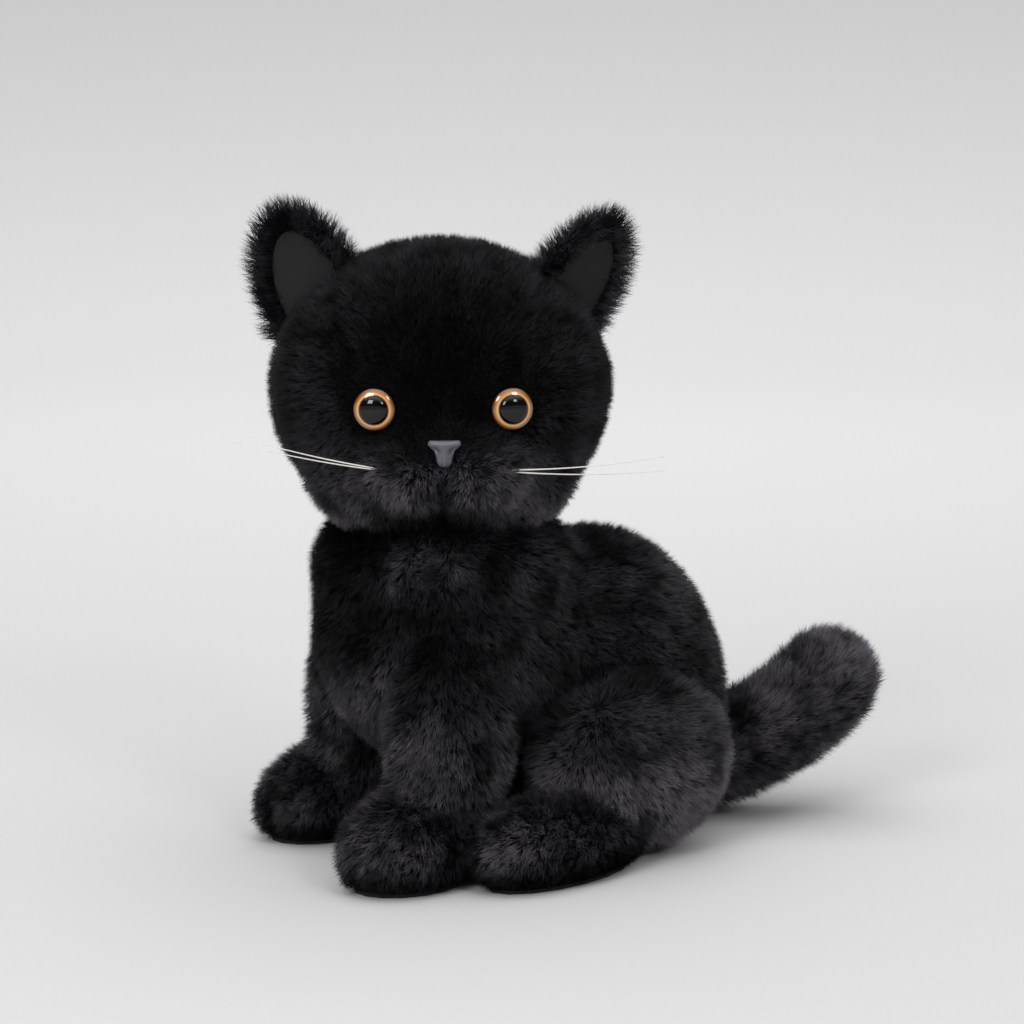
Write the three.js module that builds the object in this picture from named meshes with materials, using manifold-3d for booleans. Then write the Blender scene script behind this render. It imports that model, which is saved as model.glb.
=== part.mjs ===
// Sitting plush kitten in black short-pile faux fur, with its head turned towards its left.
// Millimetres, +Z up. The cat faces -Y, its left side is +X, and it sits on the plane z = 0,
// with the origin in the middle of its flat seat.
// The surfaces are the fabric's, so the pile stands a few millimetres proud of them.
import * as THREE from 'three';
import { mergeVertices } from 'three/addons/utils/BufferGeometryUtils.js';
import Module from 'manifold-3d';

const wasm = await Module();
wasm.setup();

// ---------- driving dimensions ----------
const seam = 0.4;            // gap between two sewn panels
const fit = 0.4;             // gap round a piece that sits in another
const swingClearance = 1.2;  // gap round a piece that swings in another
const skin = 2.2;            // pile fabric with its backing
const soleThickness = 1.4;

const chestRadii = [51, 48, 54];
const chestCentre = [0, -64, 90];
const rumpRadii = [50, 54, 70];
const rumpCentre = [0, 0, 51];
const shoulderRadii = [51, 48.5, 32];   // fills the chest out up to the neck
const shoulderCentre = [0, -64, 112];
const saddleRadii = [40, 36, 42];       // between the shoulders and the rump
const saddleCentre = [0, -30, 82];
const chestPanelHalfWidth = 21;
const basePanelHeight = 9;

const headRadii = [62, 50, 54.5];
const neckHeight = 127;      // where the underside of the head comes, above the floor
const headCentre = [0, -65, neckHeight + headRadii[2]];
const headTurn = 65;         // degrees about Z from the body's facing direction
const muzzleRadii = [28, 19, 18];
const muzzleReach = 6;       // how far the muzzle stands out in front of the head
const muzzleCentre = [0, -(headRadii[1] + muzzleReach - muzzleRadii[1]), -24];
const neckPlugRadius = 24;
const neckPlugThickness = 3.4;
const neckGap = 0.4;         // clear between the head's underside and the rim of the neck
const gussetShareTop = 0.597; // of the head's width, where the gusset passes between the ears
const gussetWidthTop = 2 * headRadii[0] * gussetShareTop;
const gussetWidthChin = 10;

const eyeDiameter = 15;
const eyeSpacing = 51.5;
const eyeHeight = -4;
const fittingForward = 0.35; // how far a fitting turns from its surface's normal to straight ahead
const eyeSetBack = 1.0;      // how far the iris rim sinks into the pile fabric
const pupilDiameter = 11;
const irisBulge = 0.5;       // how far each dome stands out, as a share of its radius
const pupilBulge = 0.62;
const pupilRise = 1.7;       // of the pupil's middle above the iris's
const shankDiameter = 4;
const shankLength = 13;
const eyeWasher = { radius: 8, top: -5.6 };    // radius, and depth of its outer face
const noseWasher = { radius: 5.5, top: -7 };
const washerThickness = 1.2;

const noseWidth = 13;
const noseHeight = 9.6;
const noseDepth = 4.6;
const noseRounding = 0.8;
const noseDrop = -18.5;
const noseSink = 1.3;        // how far its back lies inside the muzzle's foremost point

const whiskerLength = 62;
const whiskerThickness = 0.7;
const whiskerPitch = 2;      // between the two roots of a side
const whiskerSweep = 8;      // how far back a tip lies from its root
const whiskerBow = 6;
const whiskerRootX = 21;
const whiskerRootZ = -26;
const whiskerRises = { left: [4, -3], right: [15, 12] };   // of each tip above its root
const mouthThread = 1.1;
const mouthLength = 7.5;

const earWidth = 40;
const earHeight = 39;
const earThickness = 4.6;
const earLiningThickness = 1.2;
const earMargin = 7;         // fur border round the velvet lining
const earLiningRise = 9;     // of the lining's lower edge above the ear's seam
const earBaseShare = [0.742, 0.5505];   // of the head's half width and half height
const earBaseX = headRadii[0] * earBaseShare[0];
const earBaseZ = headRadii[2] * earBaseShare[1];
const earTurns = { left: 36, right: -14 };   // about the ear's own height, outwards
const earLeans = { left: 32, right: -22 };   // sideways, from the vertical
const earFold = 18;          // degrees each way, which opens the groove it stands in

const foreLegRadii = [20, 23, 46];
const foreLegCentre = [36, -80, 56];
const forePawRadii = [19, 27, 21];
const forePawCentre = [40, -99, 14];
const shoulder = [36, -74, 84];
const foreLegLift = 20;

const thighRadii = [23, 41, 35];
const thighSink = 8;         // how far the middle of a thigh lies inside the rump's side
const thighCentre = [rumpRadii[0] - thighSink, -5, 38];
const hindFootRadii = [18, 40, 20];
const hindFootCentre = [55, -43, 12];
const hindFootSplay = 14;

const tailRadius = 19;
const tailGround = 2;        // clear under the tail's root
const tailSink = 5;          // how far the tail's root lies inside the rump
const tailRoute = [[0, 0, 0], [8, 18, 6], [15, 35, 15], [18, 50, 24], [18, 61, 33]];
const tailSides = 10;
const tailSteps = 7;
const tailRootRadius = 10;
const tailRoomShare = 1.45;  // radius kept free of the body's filling, as a share of the tail's
const tailSwing = 20;        // degrees each way
const tailLift = 14;
const tailHeight = tailRadius + tailGround;
const rumpBack = rumpRadii[1] * Math.sqrt(1 - ((tailHeight - rumpCentre[2]) / rumpRadii[2]) ** 2);
const tailPivot = [0, rumpCentre[1] + rumpBack - tailSink, tailHeight];

// ---------- solids and pieces ----------
const far = 300;             // beyond every piece, for the blocks that cut along a plane
const rad = THREE.MathUtils.degToRad;
const turnZ = (degrees) => new THREE.Matrix4().makeRotationZ(rad(degrees));
const moveTo = (p) => new THREE.Matrix4().makeTranslation(p[0], p[1], p[2]);
const grown = (radii, by) => radii.map((r) => r + by);
const mirrored = (p, side) => [p[0] * side, p[1], p[2]];

function solidOf(geometry, matrix = new THREE.Matrix4()) {
  const bare = geometry.index ? geometry.toNonIndexed() : geometry.clone();
  bare.deleteAttribute('normal');
  bare.deleteAttribute('uv');
  bare.applyMatrix4(matrix);
  const merged = mergeVertices(bare, 1e-4);
  return new wasm.Manifold(new wasm.Mesh({
    numProp: 3,
    vertProperties: new Float32Array(merged.attributes.position.array),
    triVerts: new Uint32Array(merged.index.array),
  }));
}

function ball(centre, radii, matrix = new THREE.Matrix4(), around = 16, down = 10) {
  const shape = new THREE.SphereGeometry(1, around, down);
  shape.rotateX(Math.PI / 2);
  shape.scale(radii[0], radii[1], radii[2]);
  return solidOf(shape, moveTo(centre).multiply(matrix));
}

function block(low, high, matrix = new THREE.Matrix4()) {
  const size = high.map((h, i) => h - low[i]);
  const middle = high.map((h, i) => (h + low[i]) / 2);
  return solidOf(new THREE.BoxGeometry(size[0], size[1], size[2]), matrix.clone().multiply(moveTo(middle)));
}

function disc(radius, from, to, matrix = new THREE.Matrix4(), around = 24) {
  const shape = new THREE.CylinderGeometry(radius, radius, to - from, around);
  shape.rotateX(Math.PI / 2);
  shape.translate(0, 0, (from + to) / 2);
  return solidOf(shape, matrix);
}

// the largest connected body of a solid, without slivers that a cut leaves beside it
function mainBody(solid) {
  const bodies = solid.decompose();
  return bodies.reduce((best, body) => (body.volume() > best.volume() ? body : best));
}

// cuts from a solid the space that a moving piece needs as it turns about an axis through a point
function clearedFor(solid, moving, pivot, axis, fromDegrees, toDegrees, steps) {
  let result = solid;
  for (let i = 0; i <= steps; i += 1) {
    const angle = rad(fromDegrees + ((toDegrees - fromDegrees) * i) / steps);
    const matrix = moveTo(pivot)
      .multiply(new THREE.Matrix4().makeRotationAxis(axis, angle))
      .multiply(moveTo(pivot.map((v) => -v)));
    result = result.subtract(moving.transform(matrix.elements));
  }
  return result;
}

function addPiece(parent, name, solid, look) {
  const mesh = mainBody(solid).getMesh();
  const geometry = new THREE.BufferGeometry();
  geometry.setAttribute('position', new THREE.BufferAttribute(new Float32Array(mesh.vertProperties), 3));
  geometry.setIndex(new THREE.BufferAttribute(new Uint32Array(mesh.triVerts), 1));
  geometry.computeVertexNormals();
  const piece = new THREE.Mesh(geometry, new THREE.MeshStandardMaterial(look));
  piece.name = name;
  parent.add(piece);
  return piece;
}

const looks = {
  fur: { color: 0x19181a, roughness: 0.95, metalness: 0 },
  velvet: { color: 0x2a272b, roughness: 0.85, metalness: 0 },
  sole: { color: 0x121113, roughness: 0.95, metalness: 0 },
  filling: { color: 0xe9e7e2, roughness: 1, metalness: 0 },
  thread: { color: 0x0e0e0f, roughness: 0.8, metalness: 0 },
  iris: { color: 0xc98a3c, roughness: 0.25, metalness: 0 },
  pupil: { color: 0x060606, roughness: 0.08, metalness: 0 },
  noseRubber: { color: 0x3b3a40, roughness: 0.5, metalness: 0 },
  washer: { color: 0xd8d8d4, roughness: 0.5, metalness: 0 },
  bristle: { color: 0xe4e2dc, roughness: 0.35, metalness: 0 },
};

const plush = new THREE.Group();
const aboveFloor = (solid, height) => solid.intersect(block([-far, -far, height], [far, far, far]));

// ---------- forelegs: two skin panels, a sole and filling each ----------
function foreLegSolid(side, by, floor, around = 12, down = 7) {
  const leg = ball(mirrored(foreLegCentre, side), grown(foreLegRadii, by), undefined, around, down);
  const paw = ball(mirrored(forePawCentre, side), grown(forePawRadii, by), undefined, around, down);
  return aboveFloor(leg.add(paw), floor);
}

// the sole follows the outline in which the foot's rounded form meets its flat underside
function solePlate(centre, radii, turn) {
  const share = Math.sqrt(1 - ((centre[2] - soleThickness - seam) / radii[2]) ** 2) - 0.02;
  const shape = new THREE.Shape().absellipse(0, 0, radii[0] * share, radii[1] * share, 0, 2 * Math.PI);
  const plate = new THREE.ExtrudeGeometry(shape, {
    depth: soleThickness, bevelEnabled: false, curveSegments: 8,
  });
  return solidOf(plate, moveTo([centre[0], centre[1], 0]).multiply(turnZ(turn)));
}

const sides = [['left', 1], ['right', -1]];
for (const [word, side] of sides) {
  const group = new THREE.Group();
  plush.add(group);
  const floor = soleThickness + seam;
  const shell = foreLegSolid(side, 0, floor).subtract(foreLegSolid(side, -skin, floor + skin));
  const seamPlane = foreLegCentre[0] * side;
  const beyond = block([seamPlane + seam / 2, -far, 0], [far, far, far]);
  const before = block([-far, -far, 0], [seamPlane - seam / 2, far, far]);
  const [outer, inner] = side > 0 ? [beyond, before] : [before, beyond];
  addPiece(group, `foreleg_${word}_outer_panel`, shell.intersect(outer), looks.fur);
  addPiece(group, `foreleg_${word}_inner_panel`, shell.intersect(inner), looks.fur);
  const filling = foreLegSolid(side, -skin - fit, floor + skin + fit);
  addPiece(group, `foreleg_${word}_filling`, filling, looks.filling);
  const sole = solePlate(mirrored(forePawCentre, side), forePawRadii, 0);
  addPiece(group, `foreleg_${word}_sole`, sole, looks.sole);
}

// ---------- torso: two sides, chest panel, base panel and filling ----------
const xAxis = new THREE.Vector3(1, 0, 0);
const zAxis = new THREE.Vector3(0, 0, 1);
const tailTip = tailRoute[tailRoute.length - 1];
const tailCurve = new THREE.CatmullRomCurve3(tailRoute.map((p) => new THREE.Vector3(...p)));

function tailSolid(radius) {
  const section = new THREE.Shape();
  for (let i = 0; i < tailSides; i += 1) {
    const angle = (2 * Math.PI * i) / tailSides;
    const point = [radius * Math.cos(angle), radius * Math.sin(angle)];
    if (i === 0) {
      section.moveTo(...point);
    } else {
      section.lineTo(...point);
    }
  }
  const tube = solidOf(new THREE.ExtrudeGeometry(section, { steps: tailSteps, extrudePath: tailCurve }));
  const ends = Array(3).fill(radius);
  return tube.add(ball([0, 0, 0], ends, undefined, 10, 7)).add(ball(tailTip, ends, undefined, 10, 7));
}

// the straight start of the tail, which is all that comes near the body
function tailStub(radius) {
  const along = tailCurve.getTangent(0);
  const turn = new THREE.Quaternion().setFromUnitVectors(zAxis, along);
  const matrix = new THREE.Matrix4().makeRotationFromQuaternion(turn);
  return disc(radius, 0, 2 * tailRadius, matrix, 10)
    .add(ball([0, 0, 0], Array(3).fill(radius), undefined, 10, 7));
}

const headSag = headRadii[2] * Math.sqrt(1 - (neckPlugRadius / headRadii[0]) ** 2);
const neckInner = Math.hypot(neckPlugRadius, headSag) + neckGap;
const neckOuter = neckInner + neckPlugThickness;
const headClearRadius = neckOuter + fit;

function torsoSolid(by, floor) {
  const chest = ball(chestCentre, grown(chestRadii, by)).add(ball(shoulderCentre, grown(shoulderRadii, by)));
  const rump = ball(rumpCentre, grown(rumpRadii, by)).add(ball(saddleCentre, grown(saddleRadii, by)));
  return aboveFloor(chest.add(rump), floor);
}

function withOpenings(solid) {
  let result = solid.subtract(ball(headCentre, Array(3).fill(headClearRadius), undefined, 20, 12));
  for (const [, side] of sides) {
    const leg = foreLegSolid(side, swingClearance, -10, 10, 7);
    result = clearedFor(result, leg, mirrored(shoulder, side), xAxis, 0, -foreLegLift, 2);
  }
  return result;
}

function withTailOpening(solid) {
  const tail = tailStub(tailRadius + swingClearance).transform(moveTo(tailPivot).elements);
  const lift = moveTo(tailPivot)
    .multiply(new THREE.Matrix4().makeRotationX(rad(tailLift)))
    .multiply(moveTo(tailPivot.map((v) => -v)));
  const swung = clearedFor(solid, tail, tailPivot, zAxis, -tailSwing, tailSwing, 2);
  return clearedFor(swung, tail.transform(lift.elements), tailPivot, zAxis, -tailSwing, tailSwing, 2);
}

const torsoFloor = soleThickness + seam;
const torsoShell = withTailOpening(withOpenings(torsoSolid(0, 0).subtract(torsoSolid(-skin, torsoFloor))));
const baseRegion = block([-far, -far, -1], [far, far, basePanelHeight]);
const aboveBase = block([-far, -far, basePanelHeight + seam], [far, far, far]);
const chestRegion = (by) => {
  const half = chestPanelHalfWidth + by;
  return block([-half, -far, -1], [half, chestCentre[1], far]);
};
const sideRegion = (side) => (side > 0
  ? block([seam / 2, -far, 0], [far, far, far])
  : block([-far, -far, 0], [-seam / 2, far, far]));

addPiece(plush, 'base_panel', torsoShell.intersect(baseRegion), looks.fur);
addPiece(plush, 'chest_panel', torsoShell.intersect(aboveBase).intersect(chestRegion(0)), looks.fur);
for (const [word, side] of sides) {
  const panel = torsoShell.intersect(aboveBase).subtract(chestRegion(seam)).intersect(sideRegion(side));
  addPiece(plush, `torso_${word}_panel`, panel, looks.fur);
}
// the filling stops short of the tail's root all round
const tailRoom = ball(tailPivot, Array(3).fill(tailRadius * tailRoomShare + swingClearance));
const torsoFilling = withOpenings(torsoSolid(-skin - fit, torsoFloor + fit)).subtract(tailRoom);
addPiece(plush, 'torso_filling', torsoFilling, looks.filling);

// ---------- hind legs: a thigh lobe sewn on each side, and a foot under it ----------
const torsoGrown = torsoSolid(fit, -10);
for (const [word, side] of sides) {
  const group = new THREE.Group();
  plush.add(group);
  const legClear = foreLegSolid(side, swingClearance, -10);
  const thigh = (by) => ball(mirrored(thighCentre, side), grown(thighRadii, by), undefined, 14, 9);
  const cutThigh = (solid) => aboveFloor(solid, 1).subtract(torsoGrown).subtract(legClear);
  addPiece(group, `thigh_${word}_panel`, cutThigh(thigh(0).subtract(thigh(-skin))), looks.fur);
  addPiece(group, `thigh_${word}_filling`, cutThigh(thigh(-skin - fit)), looks.filling);

  const splay = turnZ(hindFootSplay * side);
  const floor = soleThickness + seam;
  const foot = (by, height) => aboveFloor(
    ball(mirrored(hindFootCentre, side), grown(hindFootRadii, by), splay, 12, 8), height,
  );
  const cutFoot = (solid) => solid.subtract(torsoGrown).subtract(thigh(fit)).subtract(legClear);
  const footShell = foot(0, floor).subtract(foot(-skin, floor + skin));
  addPiece(group, `hind_foot_${word}_panel`, cutFoot(footShell), looks.fur);
  const footFilling = foot(-skin - fit, floor + skin + fit);
  addPiece(group, `hind_foot_${word}_filling`, cutFoot(footFilling), looks.filling);
  const sole = solePlate(mirrored(hindFootCentre, side), hindFootRadii, hindFootSplay * side);
  addPiece(group, `hind_foot_${word}_sole`, cutFoot(sole), looks.sole);
}

// ---------- neck: a cap of firm filling with the ring of closing stitches round it ----------
const neckGroup = new THREE.Group();
neckGroup.position.set(...headCentre);
plush.add(neckGroup);
const neckShell = ball([0, 0, 0], Array(3).fill(neckOuter), undefined, 20, 14)
  .subtract(ball([0, 0, 0], Array(3).fill(neckInner), undefined, 20, 14));
const ringWidth = 2;
const neckCore = disc(neckPlugRadius - ringWidth - fit, -100, 0, undefined, 14);
addPiece(neckGroup, 'neck_filling', neckShell.intersect(neckCore), looks.filling);
const ringBand = disc(neckPlugRadius, -100, 0, undefined, 14)
  .subtract(disc(neckPlugRadius - ringWidth, -101, 1, undefined, 14));
addPiece(neckGroup, 'neck_seam_thread', neckShell.intersect(ringBand), looks.thread);

// ---------- head ----------
const head = new THREE.Group();
head.position.set(...headCentre);
head.rotation.z = rad(headTurn);
plush.add(head);

// how far forward the face reaches at a point seen from in front
function headSurfaceY(x, z) {
  const skull = 1 - (x / headRadii[0]) ** 2 - (z / headRadii[2]) ** 2;
  const dz = (z - muzzleCentre[2]) / muzzleRadii[2];
  const snout = 1 - (x / muzzleRadii[0]) ** 2 - dz ** 2;
  const skullY = -headRadii[1] * Math.sqrt(Math.max(skull, 0));
  const snoutY = snout > 0 ? muzzleCentre[1] - muzzleRadii[1] * Math.sqrt(snout) : 0;
  return Math.min(skullY, snoutY);
}

function headSolid(by) {
  return ball([0, 0, 0], grown(headRadii, by), undefined, 18, 11)
    .add(ball(muzzleCentre, grown(muzzleRadii, by), undefined, 12, 8));
}

// A fitting pressed through the fabric from outside: its frame has +Z pointing out of the face.
function faceFrame(x, z, depth) {
  const y = headSurfaceY(x, z) + depth;
  const out = new THREE.Vector3(x / headRadii[0] ** 2, y / headRadii[1] ** 2, z / headRadii[2] ** 2);
  out.normalize();
  out.lerp(new THREE.Vector3(0, -1, 0), fittingForward).normalize();
  const across = new THREE.Vector3(0, 0, 1).cross(out).normalize();
  const up = out.clone().cross(across);
  return new THREE.Matrix4().makeBasis(across, up, out).setPosition(x, y, z);
}

const shankSolid = (matrix, by) => disc(shankDiameter / 2 + by, -shankLength - by, 0.5, matrix, 8);
const washerSolid = (matrix, washer) => {
  const plate = disc(washer.radius, washer.top - washerThickness, washer.top, matrix, 12);
  return plate.subtract(shankSolid(matrix, fit));
};

// the room that a shank and its washer take up in the filling
const pocket = (matrix, washer) => disc(washer.radius + fit, -shankLength - 1, 20, matrix, 12);

const eyes = sides.map(([word, side]) => ({
  word,
  matrix: faceFrame((eyeSpacing / 2) * side, eyeHeight, eyeSetBack),
}));
const noseMatrix = new THREE.Matrix4()
  .makeBasis(new THREE.Vector3(1, 0, 0), new THREE.Vector3(0, 0, 1), new THREE.Vector3(0, -1, 0))
  .setPosition(0, muzzleCentre[1] - muzzleRadii[1] + noseSink, noseDrop);
const fittings = [...eyes.map((eye) => [eye.matrix, eyeWasher]), [noseMatrix, noseWasher]];

// ears lie in their own frames: X across, Y towards the back, Z up to the tip, origin mid-base
const ears = sides.map(([word, side]) => ({
  word,
  side,
  matrix: moveTo([earBaseX * side, 2, earBaseZ])
    .multiply(new THREE.Matrix4().makeRotationY(rad(earLeans[word])))
    .multiply(new THREE.Matrix4().makeRotationZ(rad(earTurns[word]))),
}));

// rounded ear outline, symmetric about its height, smaller all round by `inset`
function earShape(inset, low) {
  const half = earWidth / 2 - inset;
  const top = earHeight - inset;
  const shape = new THREE.Shape();
  shape.moveTo(-half, low);
  shape.bezierCurveTo(-half - 2, top * 0.62, -half * 0.5, top, 0, top);
  shape.bezierCurveTo(half * 0.5, top, half + 2, top * 0.62, half, low);
  shape.closePath();
  return shape;
}

function earPlate(inset, low, back, front, matrix) {
  const plate = new THREE.ExtrudeGeometry(earShape(inset, low), {
    depth: back - front, bevelEnabled: false, curveSegments: 8,
  });
  plate.rotateX(Math.PI / 2);
  plate.translate(0, back, 0);
  return solidOf(plate, matrix);
}

const earRoot = -6;          // how far the ear's seam sinks into the head

// the groove in the head that an ear stands in, opening both ways from the line that the ear folds about
function earGroove(ear) {
  const low = earRoot - swingClearance;
  const high = earHeight / 2;
  const waist = earThickness / 2 + fit;
  const spreadAt = (height) => waist + Math.abs(height) * Math.tan(rad(earFold));
  const profile = new THREE.Shape([
    new THREE.Vector2(-spreadAt(low), low), new THREE.Vector2(spreadAt(low), low),
    new THREE.Vector2(waist, 0), new THREE.Vector2(spreadAt(high), high),
    new THREE.Vector2(-spreadAt(high), high), new THREE.Vector2(-waist, 0),
  ]);
  const width = earWidth + 2 * swingClearance + 4;
  const groove = new THREE.ExtrudeGeometry(profile, { depth: width, bevelEnabled: false });
  groove.rotateY(Math.PI / 2);
  groove.rotateX(Math.PI / 2);
  groove.translate(-width / 2, 0, 0);
  return solidOf(groove, ear.matrix);
}

const earSolid = (ear) => earPlate(0, earRoot, earThickness / 2, -earThickness / 2, ear.matrix);

function withFaceHoles(solid, hole) {
  let result = solid;
  for (const [matrix, washer] of fittings) {
    result = result.subtract(hole(matrix, washer));
  }
  for (const ear of ears) {
    result = result.subtract(earGroove(ear));
  }
  return result;
}

const eyeSolid = (matrix, by) => {
  const dome = new THREE.SphereGeometry(eyeDiameter / 2 + by, 14, 6);
  dome.scale(1, 1, irisBulge);
  return solidOf(dome, matrix);
};
const noseSolid = (by) => {
  const half = noseWidth / 2 + by;
  const top = noseHeight * 0.42 + by;
  const bottom = -noseHeight * 0.58 - by;
  const shape = new THREE.Shape();
  shape.moveTo(-half * 0.75, top);
  shape.quadraticCurveTo(0, top * 0.8, half * 0.75, top);
  shape.quadraticCurveTo(half * 1.15, top * 0.6, half * 0.8, top * 0.1);
  shape.quadraticCurveTo(half * 0.45, bottom * 0.4, half * 0.3, bottom * 0.9);
  shape.quadraticCurveTo(0, bottom * 1.15, -half * 0.3, bottom * 0.9);
  shape.quadraticCurveTo(-half * 0.45, bottom * 0.4, -half * 0.8, top * 0.1);
  shape.quadraticCurveTo(-half * 1.15, top * 0.6, -half * 0.75, top);
  const body = new THREE.ExtrudeGeometry(shape, {
    depth: noseDepth - 2 * noseRounding,
    bevelEnabled: true,
    bevelThickness: noseRounding,
    bevelSize: 0.6,
    bevelSegments: 2,
    curveSegments: 4,
  });
  body.translate(0, 0, noseRounding - by);
  return solidOf(body, noseMatrix);
};

// the wedge between the two side panels, wide between the ears and narrow under the chin
function gussetRegion(by) {
  const reach = 90;
  const top = gussetWidthTop / 2 + by;
  const chin = gussetWidthChin / 2 + by;
  const shape = new THREE.Shape([
    new THREE.Vector2(-top, reach),
    new THREE.Vector2(-top, headRadii[2] * 0.5),
    new THREE.Vector2(-chin, -reach),
    new THREE.Vector2(chin, -reach),
    new THREE.Vector2(top, headRadii[2] * 0.5),
    new THREE.Vector2(top, reach),
  ]);
  const wedge = new THREE.ExtrudeGeometry(shape, { depth: 2 * reach, bevelEnabled: false });
  wedge.rotateX(Math.PI / 2);
  wedge.translate(0, reach, 0);
  return solidOf(wedge);
}
const muzzleRegion = (by) => ball(muzzleCentre, grown(muzzleRadii, 1 + by), undefined, 12, 8)
  .intersect(block([-100, -100, -100], [100, muzzleCentre[1] + 8 + by, 100]));

let headShell = withFaceHoles(headSolid(0).subtract(headSolid(-skin)), (matrix) => shankSolid(matrix, fit));
for (const eye of eyes) {
  headShell = headShell.subtract(eyeSolid(eye.matrix, fit));
}
headShell = headShell.subtract(noseSolid(fit));
addPiece(head, 'muzzle_panel', headShell.intersect(muzzleRegion(0)), looks.fur);
const aroundMuzzle = headShell.subtract(muzzleRegion(seam));
addPiece(head, 'forehead_gusset', aroundMuzzle.intersect(gussetRegion(0)), looks.fur);
for (const [word, side] of sides) {
  const cheek = aroundMuzzle.subtract(gussetRegion(seam))
    .intersect(block([side > 0 ? 0 : -far, -far, -far], [side > 0 ? far : 0, far, far]));
  addPiece(head, `cheek_${word}_panel`, cheek, looks.fur);
}
addPiece(head, 'head_filling', withFaceHoles(headSolid(-skin - fit), pocket), looks.filling);

// ---------- eyes and nose: moulded fittings locked from inside by a washer on the shank ----------
for (const eye of eyes) {
  const group = new THREE.Group();
  head.add(group);
  const pupil = (by) => {
    const dome = new THREE.SphereGeometry(pupilDiameter / 2 + by, 12, 6);
    dome.scale(1, 1, pupilBulge);
    dome.translate(0, 0, pupilRise);
    return solidOf(dome, eye.matrix);
  };
  const iris = eyeSolid(eye.matrix, 0).add(shankSolid(eye.matrix, 0)).subtract(pupil(fit));
  addPiece(group, `eye_${eye.word}_iris`, iris, looks.iris);
  addPiece(group, `eye_${eye.word}_pupil`, pupil(0), looks.pupil);
  addPiece(group, `eye_${eye.word}_washer`, washerSolid(eye.matrix, eyeWasher), looks.washer);
}
addPiece(head, 'nose', noseSolid(0).add(shankSolid(noseMatrix, 0)), looks.noseRubber);
addPiece(head, 'nose_washer', washerSolid(noseMatrix, noseWasher), looks.washer);

// ---------- mouth: one short line of thread under the nose ----------
const mouthTop = noseDrop - noseHeight * 0.75;
const mouthPoints = [0, 1, 2, 3].map((step) => {
  const z = mouthTop - (mouthLength / 3) * step;
  return new THREE.Vector3(0, headSurfaceY(0, z) - mouthThread / 2 - fit, z);
});
const mouthCurve = new THREE.CatmullRomCurve3(mouthPoints);
const threadShape = new THREE.Shape().absarc(0, 0, mouthThread / 2, 0, 2 * Math.PI);
const mouth = new THREE.ExtrudeGeometry(threadShape, { steps: 8, curveSegments: 4, extrudePath: mouthCurve });
const mouthSolid = solidOf(mouth).subtract(headSolid(fit));
addPiece(head, 'mouth_stitch', mouthSolid, looks.thread);

// ---------- whiskers: two stiff nylon bristles each side ----------
for (const [word, side] of sides) {
  for (const [index, place] of ['upper', 'lower'].entries()) {
    const rise = whiskerRises[word][index];
    const rootZ = whiskerRootZ + whiskerPitch * (0.5 - index);
    const root = new THREE.Vector3(whiskerRootX * side, headSurfaceY(whiskerRootX, rootZ), rootZ);
    const tip = root.clone().add(new THREE.Vector3(whiskerLength * side, whiskerSweep, rise));
    const middle = root.clone().lerp(tip, 0.5).add(new THREE.Vector3(0, -whiskerBow, -whiskerBow / 4));
    const curve = new THREE.QuadraticBezierCurve3(root, middle, tip);
    const section = new THREE.Shape().absarc(0, 0, whiskerThickness / 2, 0, 2 * Math.PI);
    const bristle = new THREE.ExtrudeGeometry(section, { steps: 8, curveSegments: 3, extrudePath: curve });
    addPiece(head, `whisker_${word}_${place}`, solidOf(bristle).subtract(headSolid(fit)), looks.bristle);
  }
}

// ---------- ears: fur outside, a velvet lining inside ----------
for (const ear of ears) {
  const group = new THREE.Group();
  head.add(group);
  const lining = (by) => {
    const back = earLiningThickness - earThickness / 2 + by;
    return earPlate(earMargin - by, earRoot + earLiningRise - by, back, -earThickness, ear.matrix);
  };
  addPiece(group, `ear_${ear.word}_outer`, earSolid(ear).subtract(lining(seam)), looks.fur);
  addPiece(group, `ear_${ear.word}_lining`, lining(0).intersect(earSolid(ear)), looks.velvet);
}

// ---------- tail: two panels, filling, and the ball of filling at its root that it turns about ----------
const tailGroup = new THREE.Group();
tailGroup.position.set(...tailPivot);
plush.add(tailGroup);
// the panels meet along the top and the bottom of the tail
const tailSkin = tailSolid(tailRadius).subtract(tailSolid(tailRadius - skin));
const drift = turnZ(THREE.MathUtils.radToDeg(-Math.atan2(tailTip[0], tailTip[1])));
const leftOfSeam = block([seam / 2, -far, -far], [far, far, far], drift);
const rightOfSeam = block([-far, -far, -far], [-seam / 2, far, far], drift);
addPiece(tailGroup, 'tail_left_panel', tailSkin.intersect(leftOfSeam), looks.fur);
addPiece(tailGroup, 'tail_right_panel', tailSkin.intersect(rightOfSeam), looks.fur);
const beyondRoot = block([-far, tailRootRadius + swingClearance, -far], [far, far, far]);
addPiece(tailGroup, 'tail_filling', tailSolid(tailRadius - skin - fit).intersect(beyondRoot), looks.filling);
const rootBall = ball([0, 0, 0], Array(3).fill(tailRootRadius), undefined, 10, 7);
addPiece(tailGroup, 'tail_root_filling', rootBall, looks.filling);

export default plush;
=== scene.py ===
import math

import bmesh
import bpy
import numpy as np
from mathutils import Matrix, Vector
from mathutils.bvhtree import BVHTree


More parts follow.
